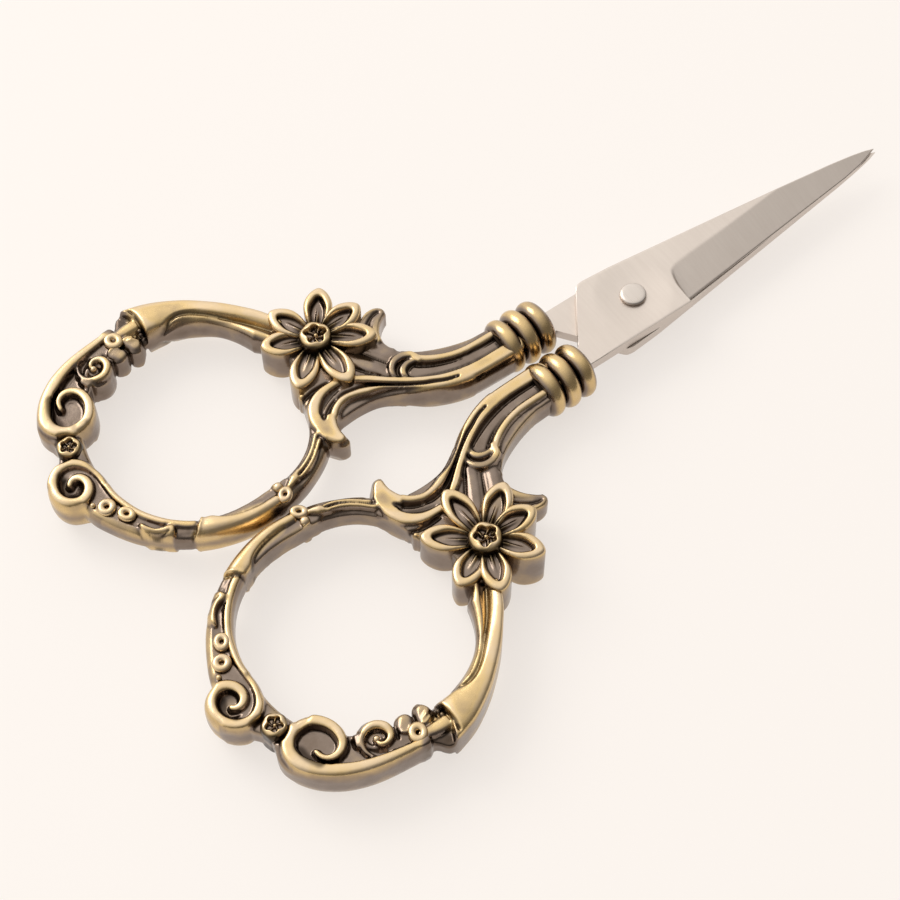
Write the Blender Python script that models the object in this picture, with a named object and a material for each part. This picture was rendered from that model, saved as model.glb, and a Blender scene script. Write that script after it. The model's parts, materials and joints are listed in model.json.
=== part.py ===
"""Small needlework scissors with cast floral handles, lying closed on a table.

The scissors are two equal halves on one rivet. A half is a stamped steel blade whose
tang sits inside a die-cast handle: a three-ring collar, a curved shank with a hooked
leaf, a seven-petal flower and a finger ring that carries scrolls and two flared
sheaths. The right half is the left half turned over about the length of the scissors.

All lengths are in metres. A half is drawn round its pivot: +X runs to the tip, +Y
away from the other handle, and z = 0 is the plane where the two blades slide.
"""
from math import cos, pi, radians, sin

import bmesh
import bpy
from mathutils import Matrix, Vector

# Blade, stamped from flat steel and ground on its outer face
BLADE_REACH = 0.0415            # pivot to tip
BLADE_THICKNESS = 0.0015
BLADE_GAP = 0.0001              # between the two sliding faces
TIP_OFFSET = 0.0002             # tip past the centre line, to the spine side
SPINE_AT_PIVOT = 0.0052         # centre line to spine beside the rivet
SPINE_AT_GRIND_END = 0.0020     # centre line to spine where the grind meets it
GRIND_END = 0.0265              # pivot to that place
HEEL_CORNER_BACK = 0.0047       # pivot back to the heel corner
HEEL_CORNER_OUT = 0.0055        # centre line to the heel corner
HEEL_CROSSING = 0.0089          # pivot back to where the slanted heel crosses the centre line
HEEL_CORNER_CUT = 0.0008        # the corner is nipped off by this much along each side
RICASSO_FRONT = 0.0056          # pivot to the end of the unground part
RICASSO_STEP = 0.0002           # the cutting edge starts this much inside the unground side
EDGE_AT_RICASSO = 0.0042        # centre line to the cutting edge there
EDGE_NEAR_TIP = 0.0013          # centre line to the cutting edge where the tip curve starts
TIP_CURVE_START = 0.0350        # pivot to that place
TIP_SWELL = 0.00018             # how far both sides bow out on their way to the tip
GRIND_WIDTH = 0.0045            # cutting edge to the top of the grind
EDGE_THICKNESS = 0.00025

# Tang, the blade's tail inside the handle
TANG_OUTER = 0.0052             # centre line to the tang's outer side
TANG_WIDTH = 0.0030
TANG_LENGTH_IN_HANDLE = 0.0130
TANG_CLEARANCE = 0.0003

# Pivot rivet
RIVET_SHAFT_RADIUS = 0.0011
RIVET_HEAD_RADIUS = 0.00165
RIVET_HEAD_HEIGHT = 0.0004
RIVET_HEAD_CHAMFER = 0.00008
RIVET_TAIL_RADIUS = 0.0016
RIVET_TAIL_FLAT_RADIUS = 0.0013
RIVET_TAIL_HEIGHT = 0.0005
RIVET_CLEARANCE = 0.0001

# Collar, three turned rings where the blade enters the handle
COLLAR_SETBACK = 0.01125        # pivot back to the collar's front face
COLLAR_RINGS = 3
COLLAR_RING_PITCH = 0.0024
COLLAR_RADIUS = 0.0036
COLLAR_MIDDLE_EXTRA = 0.0001    # the middle ring stands this much prouder
COLLAR_GROOVE_DEPTH = 0.0011
COLLAR_ARC_STEPS = 5            # flats across the crown of each ring
COLLAR_TO_COLLAR = 0.0007       # gap between the two handles' collars

# Shank, from the collar to the flower: each edge as pairs of the share of the way
# from the collar to the flower and the height above the centre line
SHANK_HALF_HEIGHT = 0.0024
SHANK_EDGE_ROUND = 0.0005
SHANK_INNER_EDGE = (
    (-0.20, 0.00120), (0.07, 0.00095), (0.29, 0.00110), (0.40, 0.00150), (0.53, 0.00235),
    (0.63, 0.00340), (0.74, 0.00485), (0.85, 0.00600), (0.95, 0.00660), (1.06, 0.00670),
    (1.17, 0.00650), (1.30, 0.00850),
)
SHANK_OUTER_EDGE = (
    (1.20, 0.0180), (0.80, 0.0165), (0.60, 0.0142), (0.59, 0.0124), (0.57, 0.0109),
    (0.49, 0.0093), (0.42, 0.00845), (0.31, 0.0076), (0.20, 0.0070), (0.09, 0.00665),
    (-0.20, 0.0064),
)

# Flower, seven petals round a boss: angle in degrees and length of each petal
FLOWER_BEHIND_COLLAR = 0.0180   # collar's back face to the middle of the flower
FLOWER_OUT = 0.0176             # centre line to the middle of the flower
PETALS = (
    (4, 0.0071), (52, 0.0073), (111, 0.0072), (154, 0.0070),
    (219, 0.0078), (269, 0.0082), (324, 0.0078),
)
PETAL_WIDTH = 0.0035
PETAL_ROOT = 0.00095            # middle of the flower to where a petal starts, under the boss
PETAL_LEAN_OUT = 1.25           # over 1 puts the widest place past the petal's middle
PETAL_FULLNESS = 0.75           # under 1 makes the sides rounder
PETAL_SIDE_STEPS = 6
PETAL_RIM_WIDTH = 0.0007
PETAL_HOLLOW_SLOPE = 0.0003     # plan width of the slope from the rim down to the hollow's floor
PETAL_HOLLOW_SHARE = 0.5        # of the petal's height above the ring
FLOWER_HALF_HEIGHT = 0.00325
FLOWER_LEAN = 0.07              # rise of the petals per length towards the collar
HUB_RADIUS = 0.0042
HUB_HALF_HEIGHT = 0.0022
BOSS_RADIUS = 0.0019
BOSS_RIM_WIDTH = 0.0007
BOSS_HOLLOW_DEPTH = 0.0006
BOSS_HALF_HEIGHT = 0.0034

# Leaves beside the flower, as outlines round the middle of the flower
HOOK_LEAF_HALF_HEIGHT = 0.0023
HOOK_LEAF = (
    (-0.0045, -0.0112), (-0.0049, -0.0129), (-0.0051, -0.0145), (-0.0067, -0.0138),
    (-0.0074, -0.0119), (-0.0068, -0.0085), (-0.0052, -0.0068), (-0.0016, -0.0062),
    (-0.0011, -0.0091), (-0.0032, -0.0101),
)
OUTER_LEAF_HALF_HEIGHT = 0.0021
OUTER_LEAF = (
    (0.0030, -0.0030), (0.0059, -0.0004), (0.0079, 0.0001), (0.0094, -0.0003),
    (0.0083, -0.0020), (0.0071, -0.0036), (0.0062, -0.0060), (0.0040, -0.0060),
)

# Finger ring: the hole is an oval with fuller shoulders on the side of the flower
RING_BEHIND_FLOWER = 0.0187     # middle of the flower back to the middle of the hole
HOLE_LENGTH = 0.0256
HOLE_WIDTH = 0.0270
HOLE_FAR_POWER = 2.2
HOLE_NEAR_POWER = 2.7
RING_TO_RING = 0.0004           # gap between the two finger rings
RING_HALF_HEIGHT = 0.00255
RING_EDGE_ROUND = 0.0006
RING_STATIONS = 60
# bar width at each angle round the hole, from the flower through the outer side
RING_BAR = (
    (0, 0.0030), (30, 0.0032), (45, 0.0026), (62, 0.0029), (90, 0.00385),
    (106, 0.0041), (116, 0.0046), (126, 0.0050), (133, 0.0054), (141, 0.0056),
    (149, 0.0053), (155, 0.0039), (162, 0.0034), (172, 0.0036), (185, 0.0042),
    (192, 0.0042), (199, 0.0039), (209, 0.0034), (220, 0.0031), (233, 0.0027),
    (246, 0.0026), (260, 0.0029), (270, 0.0032), (288, 0.0029), (303, 0.0026),
    (315, 0.0027), (330, 0.0030),
)
# scrolls and beads on the ring: angle, distance out from the hole's edge, radius, half height
RING_LOBES = (
    (141.0, 0.00180, 0.00345, 0.00275),
    (114.4, 0.00060, 0.00190, 0.00265),
    (159.7, 0.00190, 0.00160, 0.00260),
    (178.6, 0.00375, 0.00300, 0.00270),
    (282.0, 0.00195, 0.00110, 0.00265),
)
# flared sheaths: angle, inner and outer side beyond the hole's edge, half height
OUTER_SHEATH = (
    (27, 0.0026, 0.00415, 0.00262), (33, 0.0018, 0.0036, 0.00266), (45, 0.0009, 0.0030, 0.00272),
    (57, 0.0006, 0.0032, 0.00280), (69, 0.0003, 0.0040, 0.00288), (81, 0.0002, 0.0050, 0.00295),
    (87, 0.0002, 0.0054, 0.00300),
)
INNER_SHEATH = (
    (279, 0.0012, 0.0030, 0.00262), (261, 0.0013, 0.0029, 0.00268),
    (251, 0.0006, 0.00275, 0.00274), (243, 0.0001, 0.0027, 0.00282),
)
SHEATH_EDGE_ROUND = 0.0007
SHEATH_ROUND_SHARE = 0.3        # of the sheath's width, where that is less
LOBE_ROUND_SHARE = 0.3          # of a scroll's or bead's radius

# Colours from the photograph
BRASS = ((0.36, 0.27, 0.14), 0.34, 1.0)
STEEL = ((0.62, 0.58, 0.54), 0.30, 1.0)
RIVET_STEEL = ((0.66, 0.63, 0.60), 0.25, 1.0)

# Places that follow from the sizes
collar_out = COLLAR_RADIUS + COLLAR_MIDDLE_EXTRA + COLLAR_TO_COLLAR / 2
collar_front = -COLLAR_SETBACK
collar_back = collar_front - COLLAR_RINGS * COLLAR_RING_PITCH
flower_middle = Vector((collar_back - FLOWER_BEHIND_COLLAR, FLOWER_OUT))
bar_beside_axis = dict(RING_BAR)[270]
hole_middle = Vector((
    flower_middle.x - RING_BEHIND_FLOWER,
    RING_TO_RING / 2 + bar_beside_axis + HOLE_WIDTH / 2,
))
tang_end = collar_front - TANG_LENGTH_IN_HANDLE


def clear_scene():
    """Empty the scene that the script was started in."""
    for old in list(bpy.data.objects):
        bpy.data.objects.remove(old, do_unlink=True)


def new_object(name, bm):
    """Put a bmesh into a new object of the scene, with its faces pointing out."""
    bmesh.ops.recalc_face_normals(bm, faces=bm.faces)
    mesh = bpy.data.meshes.new(name)
    bm.to_mesh(mesh)
    bm.free()
    obj = bpy.data.objects.new(name, mesh)
    bpy.context.scene.collection.objects.link(obj)
    return obj


def as_guide(obj):
    """Mark a piece of construction that is joined to or cut from another one."""
    obj.hide_render = True
    obj.display_type = "WIRE"
    return obj


def combine(base, steps):
    """Join or cut a list of (operation, guide) pairs, and keep one plain mesh."""
    for operation, guide in steps:
        modifier = base.modifiers.new(operation.lower(), "BOOLEAN")
        modifier.operation = operation
        modifier.solver = "EXACT"
        modifier.object = as_guide(guide)
    bpy.context.view_layer.update()
    evaluated = base.evaluated_get(bpy.context.evaluated_depsgraph_get())
    mesh = bpy.data.meshes.new_from_object(evaluated)
    for removed in [base] + [guide for _, guide in steps]:
        bpy.data.objects.remove(removed, do_unlink=True)
    return mesh


def smooth_loop(points, steps=3):
    """Points of a closed curve that runs smoothly through the given ones."""
    anchors = [Vector(point) for point in points]
    count = len(anchors)
    loop = []
    for index in range(count):
        before, start, end, after = (anchors[(index + shift) % count] for shift in (-1, 0, 1, 2))
        for step in range(steps):
            share = step / steps
            loop.append(0.5 * (
                2 * start
                + (end - before) * share
                + (2 * before - 5 * start + 4 * end - after) * share ** 2
                + (3 * start - before - 3 * end + after) * share ** 3
            ))
    return loop


def plate(name, outline, low, high, edge_round=0.0, segments=1):
    """A flat plate with the given outline, with its rims rounded or chamfered."""
    bm = bmesh.new()
    face = bm.faces.new([bm.verts.new((point[0], point[1], low)) for point in outline])
    raised = bmesh.ops.extrude_face_region(bm, geom=[face])
    lifted = [item for item in raised["geom"] if isinstance(item, bmesh.types.BMVert)]
    bmesh.ops.translate(bm, verts=lifted, vec=(0, 0, high - low))
    if edge_round:
        rims = [edge for edge in bm.edges if edge.verts[0].co.z == edge.verts[1].co.z]
        bmesh.ops.bevel(
            bm, geom=rims, offset=edge_round, segments=segments,
            affect="EDGES", profile=0.5, clamp_overlap=True,
        )
    return new_object(name, bm)


def rounded_block(half_height, edge_round, inner, outer):
    """Cross-section of a bar as (distance, height) pairs, with its four corners cut."""
    return (
        (inner, -half_height + edge_round), (inner + edge_round, -half_height),
        (outer - edge_round, -half_height), (outer, -half_height + edge_round),
        (outer, half_height - edge_round), (outer - edge_round, half_height),
        (inner + edge_round, half_height), (inner, half_height - edge_round),
    )


def loft(name, sections, closed):
    """Skin a row of equal cross-sections, in a ring or with flat ends."""
    bm = bmesh.new()
    rows = [[bm.verts.new(point) for point in section] for section in sections]
    pairs = list(zip(rows, rows[1:]))
    if closed:
        pairs.append((rows[-1], rows[0]))
    else:
        bm.faces.new(rows[0])
        bm.faces.new(rows[-1])
    for row, following in pairs:
        count = len(row)
        for index in range(count):
            after = (index + 1) % count
            bm.faces.new((row[index], row[after], following[after], following[index]))
    return new_object(name, bm)


def turned(name, profile, middle, steps, along_x=False):
    """Turn a closed (radius, height) profile about the upright axis through middle, or about X."""
    bm = bmesh.new()
    edges = []
    points = [bm.verts.new((radius, 0, height)) for radius, height in profile]
    for start, end in zip(points, points[1:]):
        edges.append(bm.edges.new((start, end)))
    bmesh.ops.spin(
        bm, geom=points + edges, cent=(0, 0, 0), axis=(0, 0, 1),
        angle=2 * pi, steps=steps, use_merge=True,
    )
    bmesh.ops.remove_doubles(bm, verts=bm.verts, dist=1e-7)
    if along_x:
        bm.transform(Matrix.Rotation(pi / 2, 4, "Y"))
    bm.transform(Matrix.Translation(middle))
    return new_object(name, bm)


def hole_radius(angle):
    """Distance from the middle of the finger hole to its edge, in the direction of angle."""
    across = abs(cos(angle)) / (HOLE_LENGTH / 2)
    along = abs(sin(angle)) / (HOLE_WIDTH / 2)
    power = HOLE_NEAR_POWER if cos(angle) > 0 else HOLE_FAR_POWER
    return (across ** power + along ** power) ** (-1 / power)


def ring_place(degrees, out):
    """Plan position at an angle round the finger hole, a distance out from its edge."""
    angle = radians(degrees)
    return hole_middle + Vector((cos(angle), sin(angle))) * (hole_radius(angle) + out)


def bar_width(degrees):
    """Width of the ring's bar at an angle, eased between the given widths."""
    table = RING_BAR + ((360 + RING_BAR[0][0], RING_BAR[0][1]),)
    for (start, width), (end, following) in zip(table, table[1:]):
        if start <= degrees <= end:
            share = (degrees - start) / (end - start)
            return width + (following - width) * (1 - cos(pi * share)) / 2
    return table[0][1]


def ring_section(degrees, inner, outer, half_height, edge_round):
    """Cross-section of a bar or a sheath at an angle round the hole."""
    block = rounded_block(half_height, edge_round, inner, outer)
    return [(*ring_place(degrees, out), height) for out, height in block]


def finger_ring():
    """The bar round the finger hole."""
    sections = []
    for station in range(RING_STATIONS):
        degrees = 360 * station / RING_STATIONS
        width = bar_width(degrees)
        sections.append(ring_section(degrees, 0, width, RING_HALF_HEIGHT, RING_EDGE_ROUND))
    return loft("finger_ring", sections, closed=True)


def sheath(name, stations):
    """A flared sleeve that hugs the ring's bar and ends in an open mouth."""
    sections = []
    for degrees, inner, outer, half_height in stations:
        edge_round = min(SHEATH_EDGE_ROUND, SHEATH_ROUND_SHARE * (outer - inner))
        sections.append(ring_section(degrees, inner, outer, half_height, edge_round))
    return loft(name, sections, closed=False)


def lobe(degrees, out, radius, half_height):
    """A scroll or bead of the ring, as a low turned disc with a rounded rim."""
    rim = LOBE_ROUND_SHARE * radius
    profile = (
        (0, half_height), (radius - rim, half_height), (radius, half_height - rim),
        (radius, rim - half_height), (radius - rim, -half_height), (0, -half_height),
    )
    return turned("lobe", profile, ring_place(degrees, out).to_3d(), steps=16)


def petal_outline(degrees, length):
    """A pointed oval that starts under the boss."""
    half = []
    for step in range(1, PETAL_SIDE_STEPS):
        share = step / PETAL_SIDE_STEPS
        along = PETAL_ROOT + (length - PETAL_ROOT) * share
        across = PETAL_WIDTH / 2 * sin(pi * share ** PETAL_LEAN_OUT) ** PETAL_FULLNESS
        half.append((along, across))
    other_half = [(along, -across) for along, across in reversed(half)]
    loop = [(PETAL_ROOT, 0)] + half + [(length, 0)] + other_half
    turn = Matrix.Rotation(radians(degrees), 2)
    return [flower_middle + turn @ Vector(point) for point in loop]


def petal(degrees, length):
    """One petal, full depth, with a rim and a hollow on both faces."""
    height = FLOWER_HALF_HEIGHT + FLOWER_LEAN * length * cos(radians(degrees))
    hollow = PETAL_HOLLOW_SHARE * (height - RING_HALF_HEIGHT)
    obj = plate("petal", petal_outline(degrees, length), -height, height)
    bm = bmesh.new()
    bm.from_mesh(obj.data)
    flats = [face for face in bm.faces if abs(face.normal.z) > 0.9]
    for face in flats:
        sign = 1 if face.normal.z > 0 else -1
        for width in (PETAL_RIM_WIDTH, PETAL_HOLLOW_SLOPE):
            bmesh.ops.inset_region(bm, faces=[face], thickness=width, use_even_offset=True)
        for vert in face.verts:
            vert.co.z = sign * (height - hollow)
    bm.to_mesh(obj.data)
    bm.free()
    return obj


def boss():
    """The flower's raised middle, hollowed on both faces."""
    hollow = BOSS_HALF_HEIGHT - BOSS_HOLLOW_DEPTH
    inside = BOSS_RADIUS - BOSS_RIM_WIDTH
    profile = (
        (0, hollow), (inside, hollow), (inside, BOSS_HALF_HEIGHT), (BOSS_RADIUS, BOSS_HALF_HEIGHT),
        (BOSS_RADIUS, -BOSS_HALF_HEIGHT), (inside, -BOSS_HALF_HEIGHT), (inside, -hollow), (0, -hollow),
    )
    return turned("boss", profile, flower_middle.to_3d(), steps=22)


def hub():
    """The disc that joins the petals under the boss."""
    profile = (
        (0, HUB_HALF_HEIGHT), (HUB_RADIUS, HUB_HALF_HEIGHT),
        (HUB_RADIUS, -HUB_HALF_HEIGHT), (0, -HUB_HALF_HEIGHT),
    )
    return turned("hub", profile, flower_middle.to_3d(), steps=26)


def collar():
    """Three rounded rings side by side, turned about the collar's own axis."""
    half_pitch = COLLAR_RING_PITCH / 2
    profile = [(0, collar_back)]
    for ring in range(COLLAR_RINGS):
        centre = collar_back + (ring + 0.5) * COLLAR_RING_PITCH
        extra = COLLAR_MIDDLE_EXTRA if ring == COLLAR_RINGS // 2 else 0.0
        first = 0 if ring == 0 else 1
        for step in range(first, COLLAR_ARC_STEPS + 1):
            angle = pi * step / COLLAR_ARC_STEPS
            radius = COLLAR_RADIUS + extra - COLLAR_GROOVE_DEPTH * (1 - sin(angle))
            if step in (0, COLLAR_ARC_STEPS):
                radius = COLLAR_RADIUS - COLLAR_GROOVE_DEPTH
            profile.append((radius, centre - half_pitch * cos(angle)))
    profile.append((0, collar_front))
    return turned("collar", profile, Vector((0, collar_out, 0)), steps=24, along_x=True)


def shank():
    """The curved bar between the collar and the flower."""
    outline = []
    for share, rise in SHANK_INNER_EDGE + SHANK_OUTER_EDGE:
        outline.append((collar_back + share * (flower_middle.x - collar_back), rise))
    loop = smooth_loop(outline, steps=2)
    return plate("shank", loop, -SHANK_HALF_HEIGHT, SHANK_HALF_HEIGHT, SHANK_EDGE_ROUND)


def leaf(name, outline, half_height):
    """A pointed leaf beside the flower."""
    loop = smooth_loop([flower_middle + Vector(point) for point in outline], steps=2)
    return plate(name, loop, -half_height, half_height, SHANK_EDGE_ROUND)


def tang_pocket():
    """The slot that the casting leaves round the tang."""
    grow = TANG_CLEARANCE
    inner = TANG_OUTER - TANG_WIDTH - grow
    outer = TANG_OUTER + grow
    back = tang_end - grow
    front = collar_front + COLLAR_RING_PITCH
    outline = ((back, inner), (front, inner), (front, outer), (back, outer))
    return plate("pocket", outline, -BLADE_THICKNESS - grow, -BLADE_GAP / 2 + grow)


def handle_mesh():
    """One whole casting: ring, scrolls, sheaths, flower, leaves, shank and collar."""
    joined = [shank(), collar(), hub()]
    joined += [petal(degrees, length) for degrees, length in PETALS]
    joined.append(boss())
    joined.append(leaf("hook_leaf", HOOK_LEAF, HOOK_LEAF_HALF_HEIGHT))
    joined.append(leaf("outer_leaf", OUTER_LEAF, OUTER_LEAF_HALF_HEIGHT))
    joined += [lobe(*sizes) for sizes in RING_LOBES]
    joined += [sheath("outer_sheath", OUTER_SHEATH), sheath("inner_sheath", INNER_SHEATH)]
    steps = [("UNION", piece) for piece in joined]
    steps.append(("DIFFERENCE", tang_pocket()))
    return combine(finger_ring(), steps)


def blade_outline():
    """Plan outline of blade and tang, with the cutting edge on the outer side."""
    heel_slope = HEEL_CORNER_OUT / (HEEL_CROSSING - HEEL_CORNER_BACK)
    tang_inner = TANG_OUTER - TANG_WIDTH
    heel_end = -HEEL_CROSSING - tang_inner / heel_slope
    spine = [
        (GRIND_END, -SPINE_AT_GRIND_END), (0, -SPINE_AT_PIVOT),
        (-HEEL_CORNER_BACK + HEEL_CORNER_CUT, -HEEL_CORNER_OUT),
        (-HEEL_CORNER_BACK - HEEL_CORNER_CUT / heel_slope, -HEEL_CORNER_OUT + HEEL_CORNER_CUT),
    ]
    tang = [
        (heel_end, tang_inner), (tang_end, tang_inner),
        (tang_end, TANG_OUTER), (-HEEL_CORNER_BACK, TANG_OUTER),
    ]
    tip = Vector((BLADE_REACH, -TIP_OFFSET))
    edge_start = Vector((TIP_CURVE_START, EDGE_NEAR_TIP))
    spine_start = Vector((GRIND_END, -SPINE_AT_GRIND_END))
    edge_curve = []
    spine_curve = []
    for step in range(1, 4):
        share = step / 4
        swell = 4 * TIP_SWELL * share * (1 - share)
        edge_curve.append(edge_start.lerp(tip, share) + Vector((0, swell)))
        spine_curve.append(tip.lerp(spine_start, share) - Vector((0, swell)))
    edge = [
        (RICASSO_FRONT, EDGE_AT_RICASSO + RICASSO_STEP),
        (RICASSO_FRONT + 2 * RICASSO_STEP, EDGE_AT_RICASSO), tuple(edge_start),
    ]
    return tang + edge + edge_curve + [tuple(tip)] + spine_curve + spine


def grind_wedge():
    """The stock ground off the outer face, down to a thin cutting edge."""
    start = Vector((RICASSO_FRONT + RICASSO_STEP, EDGE_AT_RICASSO))
    along = (Vector((TIP_CURVE_START, EDGE_NEAR_TIP)) - start).normalized()
    inward = Vector((along.y, -along.x))
    slope = (BLADE_THICKNESS - EDGE_THICKNESS) / GRIND_WIDTH
    overrun = 0.5 * GRIND_WIDTH
    low = -BLADE_THICKNESS - slope * overrun
    section = (
        (-overrun, -EDGE_THICKNESS + slope * overrun), (-overrun, low),
        (GRIND_WIDTH + overrun, low),
    )
    length = BLADE_REACH - RICASSO_FRONT + overrun
    rows = []
    for distance in (0, length):
        row = []
        for across, height in section:
            place = start + along * distance + inward * across
            row.append((place.x, place.y, height))
        rows.append(row)
    return loft("grind", rows, closed=False)


def rivet_hole():
    """The hole through a blade."""
    radius = RIVET_SHAFT_RADIUS + RIVET_CLEARANCE
    depth = 2 * BLADE_THICKNESS
    profile = ((0, depth), (radius, depth), (radius, -depth), (0, -depth))
    return turned("rivet_hole", profile, Vector((0, 0, 0)), steps=32)


def blade_mesh():
    """One blade with its tang, ground and drilled."""
    body = plate("blade", blade_outline(), -BLADE_THICKNESS, -BLADE_GAP / 2)
    return combine(body, [("DIFFERENCE", grind_wedge()), ("DIFFERENCE", rivet_hole())])


def rivet_mesh():
    """The rivet: a flat head above, a shaft and a peened tail below."""
    head = BLADE_THICKNESS + RIVET_CLEARANCE
    top = head + RIVET_HEAD_HEIGHT
    tail = -head
    bottom = tail - RIVET_TAIL_HEIGHT
    profile = (
        (0, top), (RIVET_HEAD_RADIUS - RIVET_HEAD_CHAMFER, top),
        (RIVET_HEAD_RADIUS, top - RIVET_HEAD_CHAMFER),
        (RIVET_HEAD_RADIUS, head), (RIVET_SHAFT_RADIUS, head), (RIVET_SHAFT_RADIUS, tail),
        (RIVET_TAIL_RADIUS, tail), (RIVET_TAIL_FLAT_RADIUS, bottom), (0, bottom),
    )
    obj = turned("rivet", profile, Vector((0, 0, 0)), steps=32)
    mesh = obj.data
    bpy.data.objects.remove(obj, do_unlink=True)
    return mesh


def metal(name, finish):
    """A metal with its colour, roughness and metallic value."""
    colour, roughness, metallic = finish
    material = bpy.data.materials.new(name)
    material.use_nodes = True
    shader = material.node_tree.nodes["Principled BSDF"]
    shader.inputs["Base Color"].default_value = (*colour, 1)
    shader.inputs["Roughness"].default_value = roughness
    shader.inputs["Metallic"].default_value = metallic
    return material


def place(name, mesh, finish, carrier, turned_over):
    """Put a piece on its half of the scissors."""
    own_mesh = mesh.copy()
    own_mesh.name = name
    own_mesh.materials.clear()
    own_mesh.materials.append(metal(name, finish))
    own_mesh.shade_smooth()
    own_mesh.set_sharp_from_angle(angle=radians(35))
    obj = bpy.data.objects.new(name, own_mesh)
    bpy.context.scene.collection.objects.link(obj)
    obj.parent = carrier
    if turned_over:
        obj.rotation_euler = (pi, 0, 0)
    return obj


def pivot_place():
    """Where the pivot stands, so that the scissors' box is centred over the origin."""
    ring_reach = 0.0
    for degrees, out, radius, _ in RING_LOBES:
        ring_reach = max(ring_reach, radius - ring_place(degrees, out).x)
    for degrees, width in RING_BAR:
        ring_reach = max(ring_reach, -ring_place(degrees, width).x)
    petal_reach = max(length * cos(radians(degrees)) for degrees, length in PETALS)
    tallest_petal = FLOWER_HALF_HEIGHT + FLOWER_LEAN * petal_reach
    rest = max(tallest_petal, BOSS_HALF_HEIGHT, COLLAR_RADIUS + COLLAR_MIDDLE_EXTRA)
    return Vector(((ring_reach - BLADE_REACH) / 2, 0, rest))


clear_scene()
handle = handle_mesh()
blade = blade_mesh()
rivet = rivet_mesh()

pivot = bpy.data.objects.new("pivot", None)
pivot.location = pivot_place()
bpy.context.scene.collection.objects.link(pivot)

place("left_handle", handle, BRASS, pivot, turned_over=False)
place("lower_blade", blade, STEEL, pivot, turned_over=False)
place("pivot_rivet", rivet, RIVET_STEEL, pivot, turned_over=False)
place("right_handle", handle, BRASS, pivot, turned_over=True)
place("upper_blade", blade, STEEL, pivot, turned_over=True)
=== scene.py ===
"""Small needlework scissors with cast floral handles, lying closed on a pale table.

The lengths of the pieces are in millimetres, in the frame of one half of the scissors: X
from the rivet to the tip, Y out from the centre line, Z up from the plane where the blades
slide. The right half is the left half turned over about X. The last two sections, on the
table, the light and the camera, are in metres.
"""

import json
from math import cos, pi, radians, sin

import bmesh
import bpy
import numpy as np
from mathutils import Matrix, Vector


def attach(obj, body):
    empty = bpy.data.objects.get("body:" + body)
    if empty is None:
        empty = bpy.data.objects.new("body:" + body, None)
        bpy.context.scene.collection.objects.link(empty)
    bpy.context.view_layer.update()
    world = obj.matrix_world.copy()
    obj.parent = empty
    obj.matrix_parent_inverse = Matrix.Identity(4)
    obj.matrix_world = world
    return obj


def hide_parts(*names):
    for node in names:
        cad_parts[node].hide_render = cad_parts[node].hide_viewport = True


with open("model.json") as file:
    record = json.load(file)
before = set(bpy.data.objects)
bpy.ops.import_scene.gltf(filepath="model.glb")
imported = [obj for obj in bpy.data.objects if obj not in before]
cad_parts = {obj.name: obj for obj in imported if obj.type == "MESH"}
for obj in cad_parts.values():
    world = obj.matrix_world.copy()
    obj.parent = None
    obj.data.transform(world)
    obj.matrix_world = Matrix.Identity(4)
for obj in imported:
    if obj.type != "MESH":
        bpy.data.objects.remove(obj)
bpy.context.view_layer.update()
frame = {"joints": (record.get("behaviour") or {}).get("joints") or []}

# Pivot and the two halves
# The rivet's axis is where both halves turn. A piece is made once, in millimetres round
# that axis, and is put on the left half as it is and on the right half turned over.
MM = 0.001
MERGE_WITHIN = 0.0005           # points of a mesh that are closer than this are one point
pivot = Vector(frame["joints"][0]["pos_m"])
left_place = Matrix.Translation(pivot) @ Matrix.Scale(MM, 4)
right_place = left_place @ Matrix.Rotation(pi, 4, "X")


def in_scene(name, data):
    """A new object in the scene, at the origin."""
    obj = bpy.data.objects.new(name, data)
    bpy.context.scene.collection.objects.link(obj)
    return obj


def piece_on(name, mesh, place, body, material, node=None):
    """Put a finished mesh on its half of the scissors, riding on that half's body."""
    own = mesh.copy()
    own.name = name
    own.transform(place)
    own.materials.clear()
    own.materials.append(material)
    obj = in_scene(name, own)
    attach(obj, body)
    if node:
        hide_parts(node)


def net_faces(rows, count, round_rows=False, round_count=False):
    """Quads between the points of a net, given row by row, that can close round either way."""
    faces = []
    for row in range(rows if round_rows else rows - 1):
        here, after = row * count, (row + 1) % rows * count
        for step in range(count if round_count else count - 1):
            beside = (step + 1) % count
            faces.append((here + step, here + beside, after + beside, after + step))
    return faces


def mesh_of(name, points, faces):
    """A mesh from points and faces, with its faces turned to point outwards."""
    mesh = bpy.data.meshes.new(name)
    mesh.from_pydata([tuple(point) for point in points], [], faces)
    bm = bmesh.new()
    bm.from_mesh(mesh)
    bmesh.ops.remove_doubles(bm, verts=bm.verts, dist=MERGE_WITHIN)
    bmesh.ops.recalc_face_normals(bm, faces=bm.faces)
    bm.to_mesh(mesh)
    bm.free()
    return mesh


def shade_by_angle(mesh, degrees):
    """Shade round with hard lines where two faces meet at more than this angle."""
    mesh.shade_smooth()
    mesh.set_sharp_from_angle(angle=radians(degrees))


# Steel of the blades and the rivet
# Stainless steel, ground on a wheel: fine lines run across the blade, and soft clouds lie
# over them where the wheel has polished more or less.
BLADE_TONES = ((0.625, 0.555, 0.50), (0.675, 0.605, 0.548))
RIVET_TONES = ((0.60, 0.54, 0.49), (0.66, 0.60, 0.55))
LINE_SCALE = 2600.0
CLOUD_SCALE = 140.0
MARK_DEPTH = 0.00004


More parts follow.
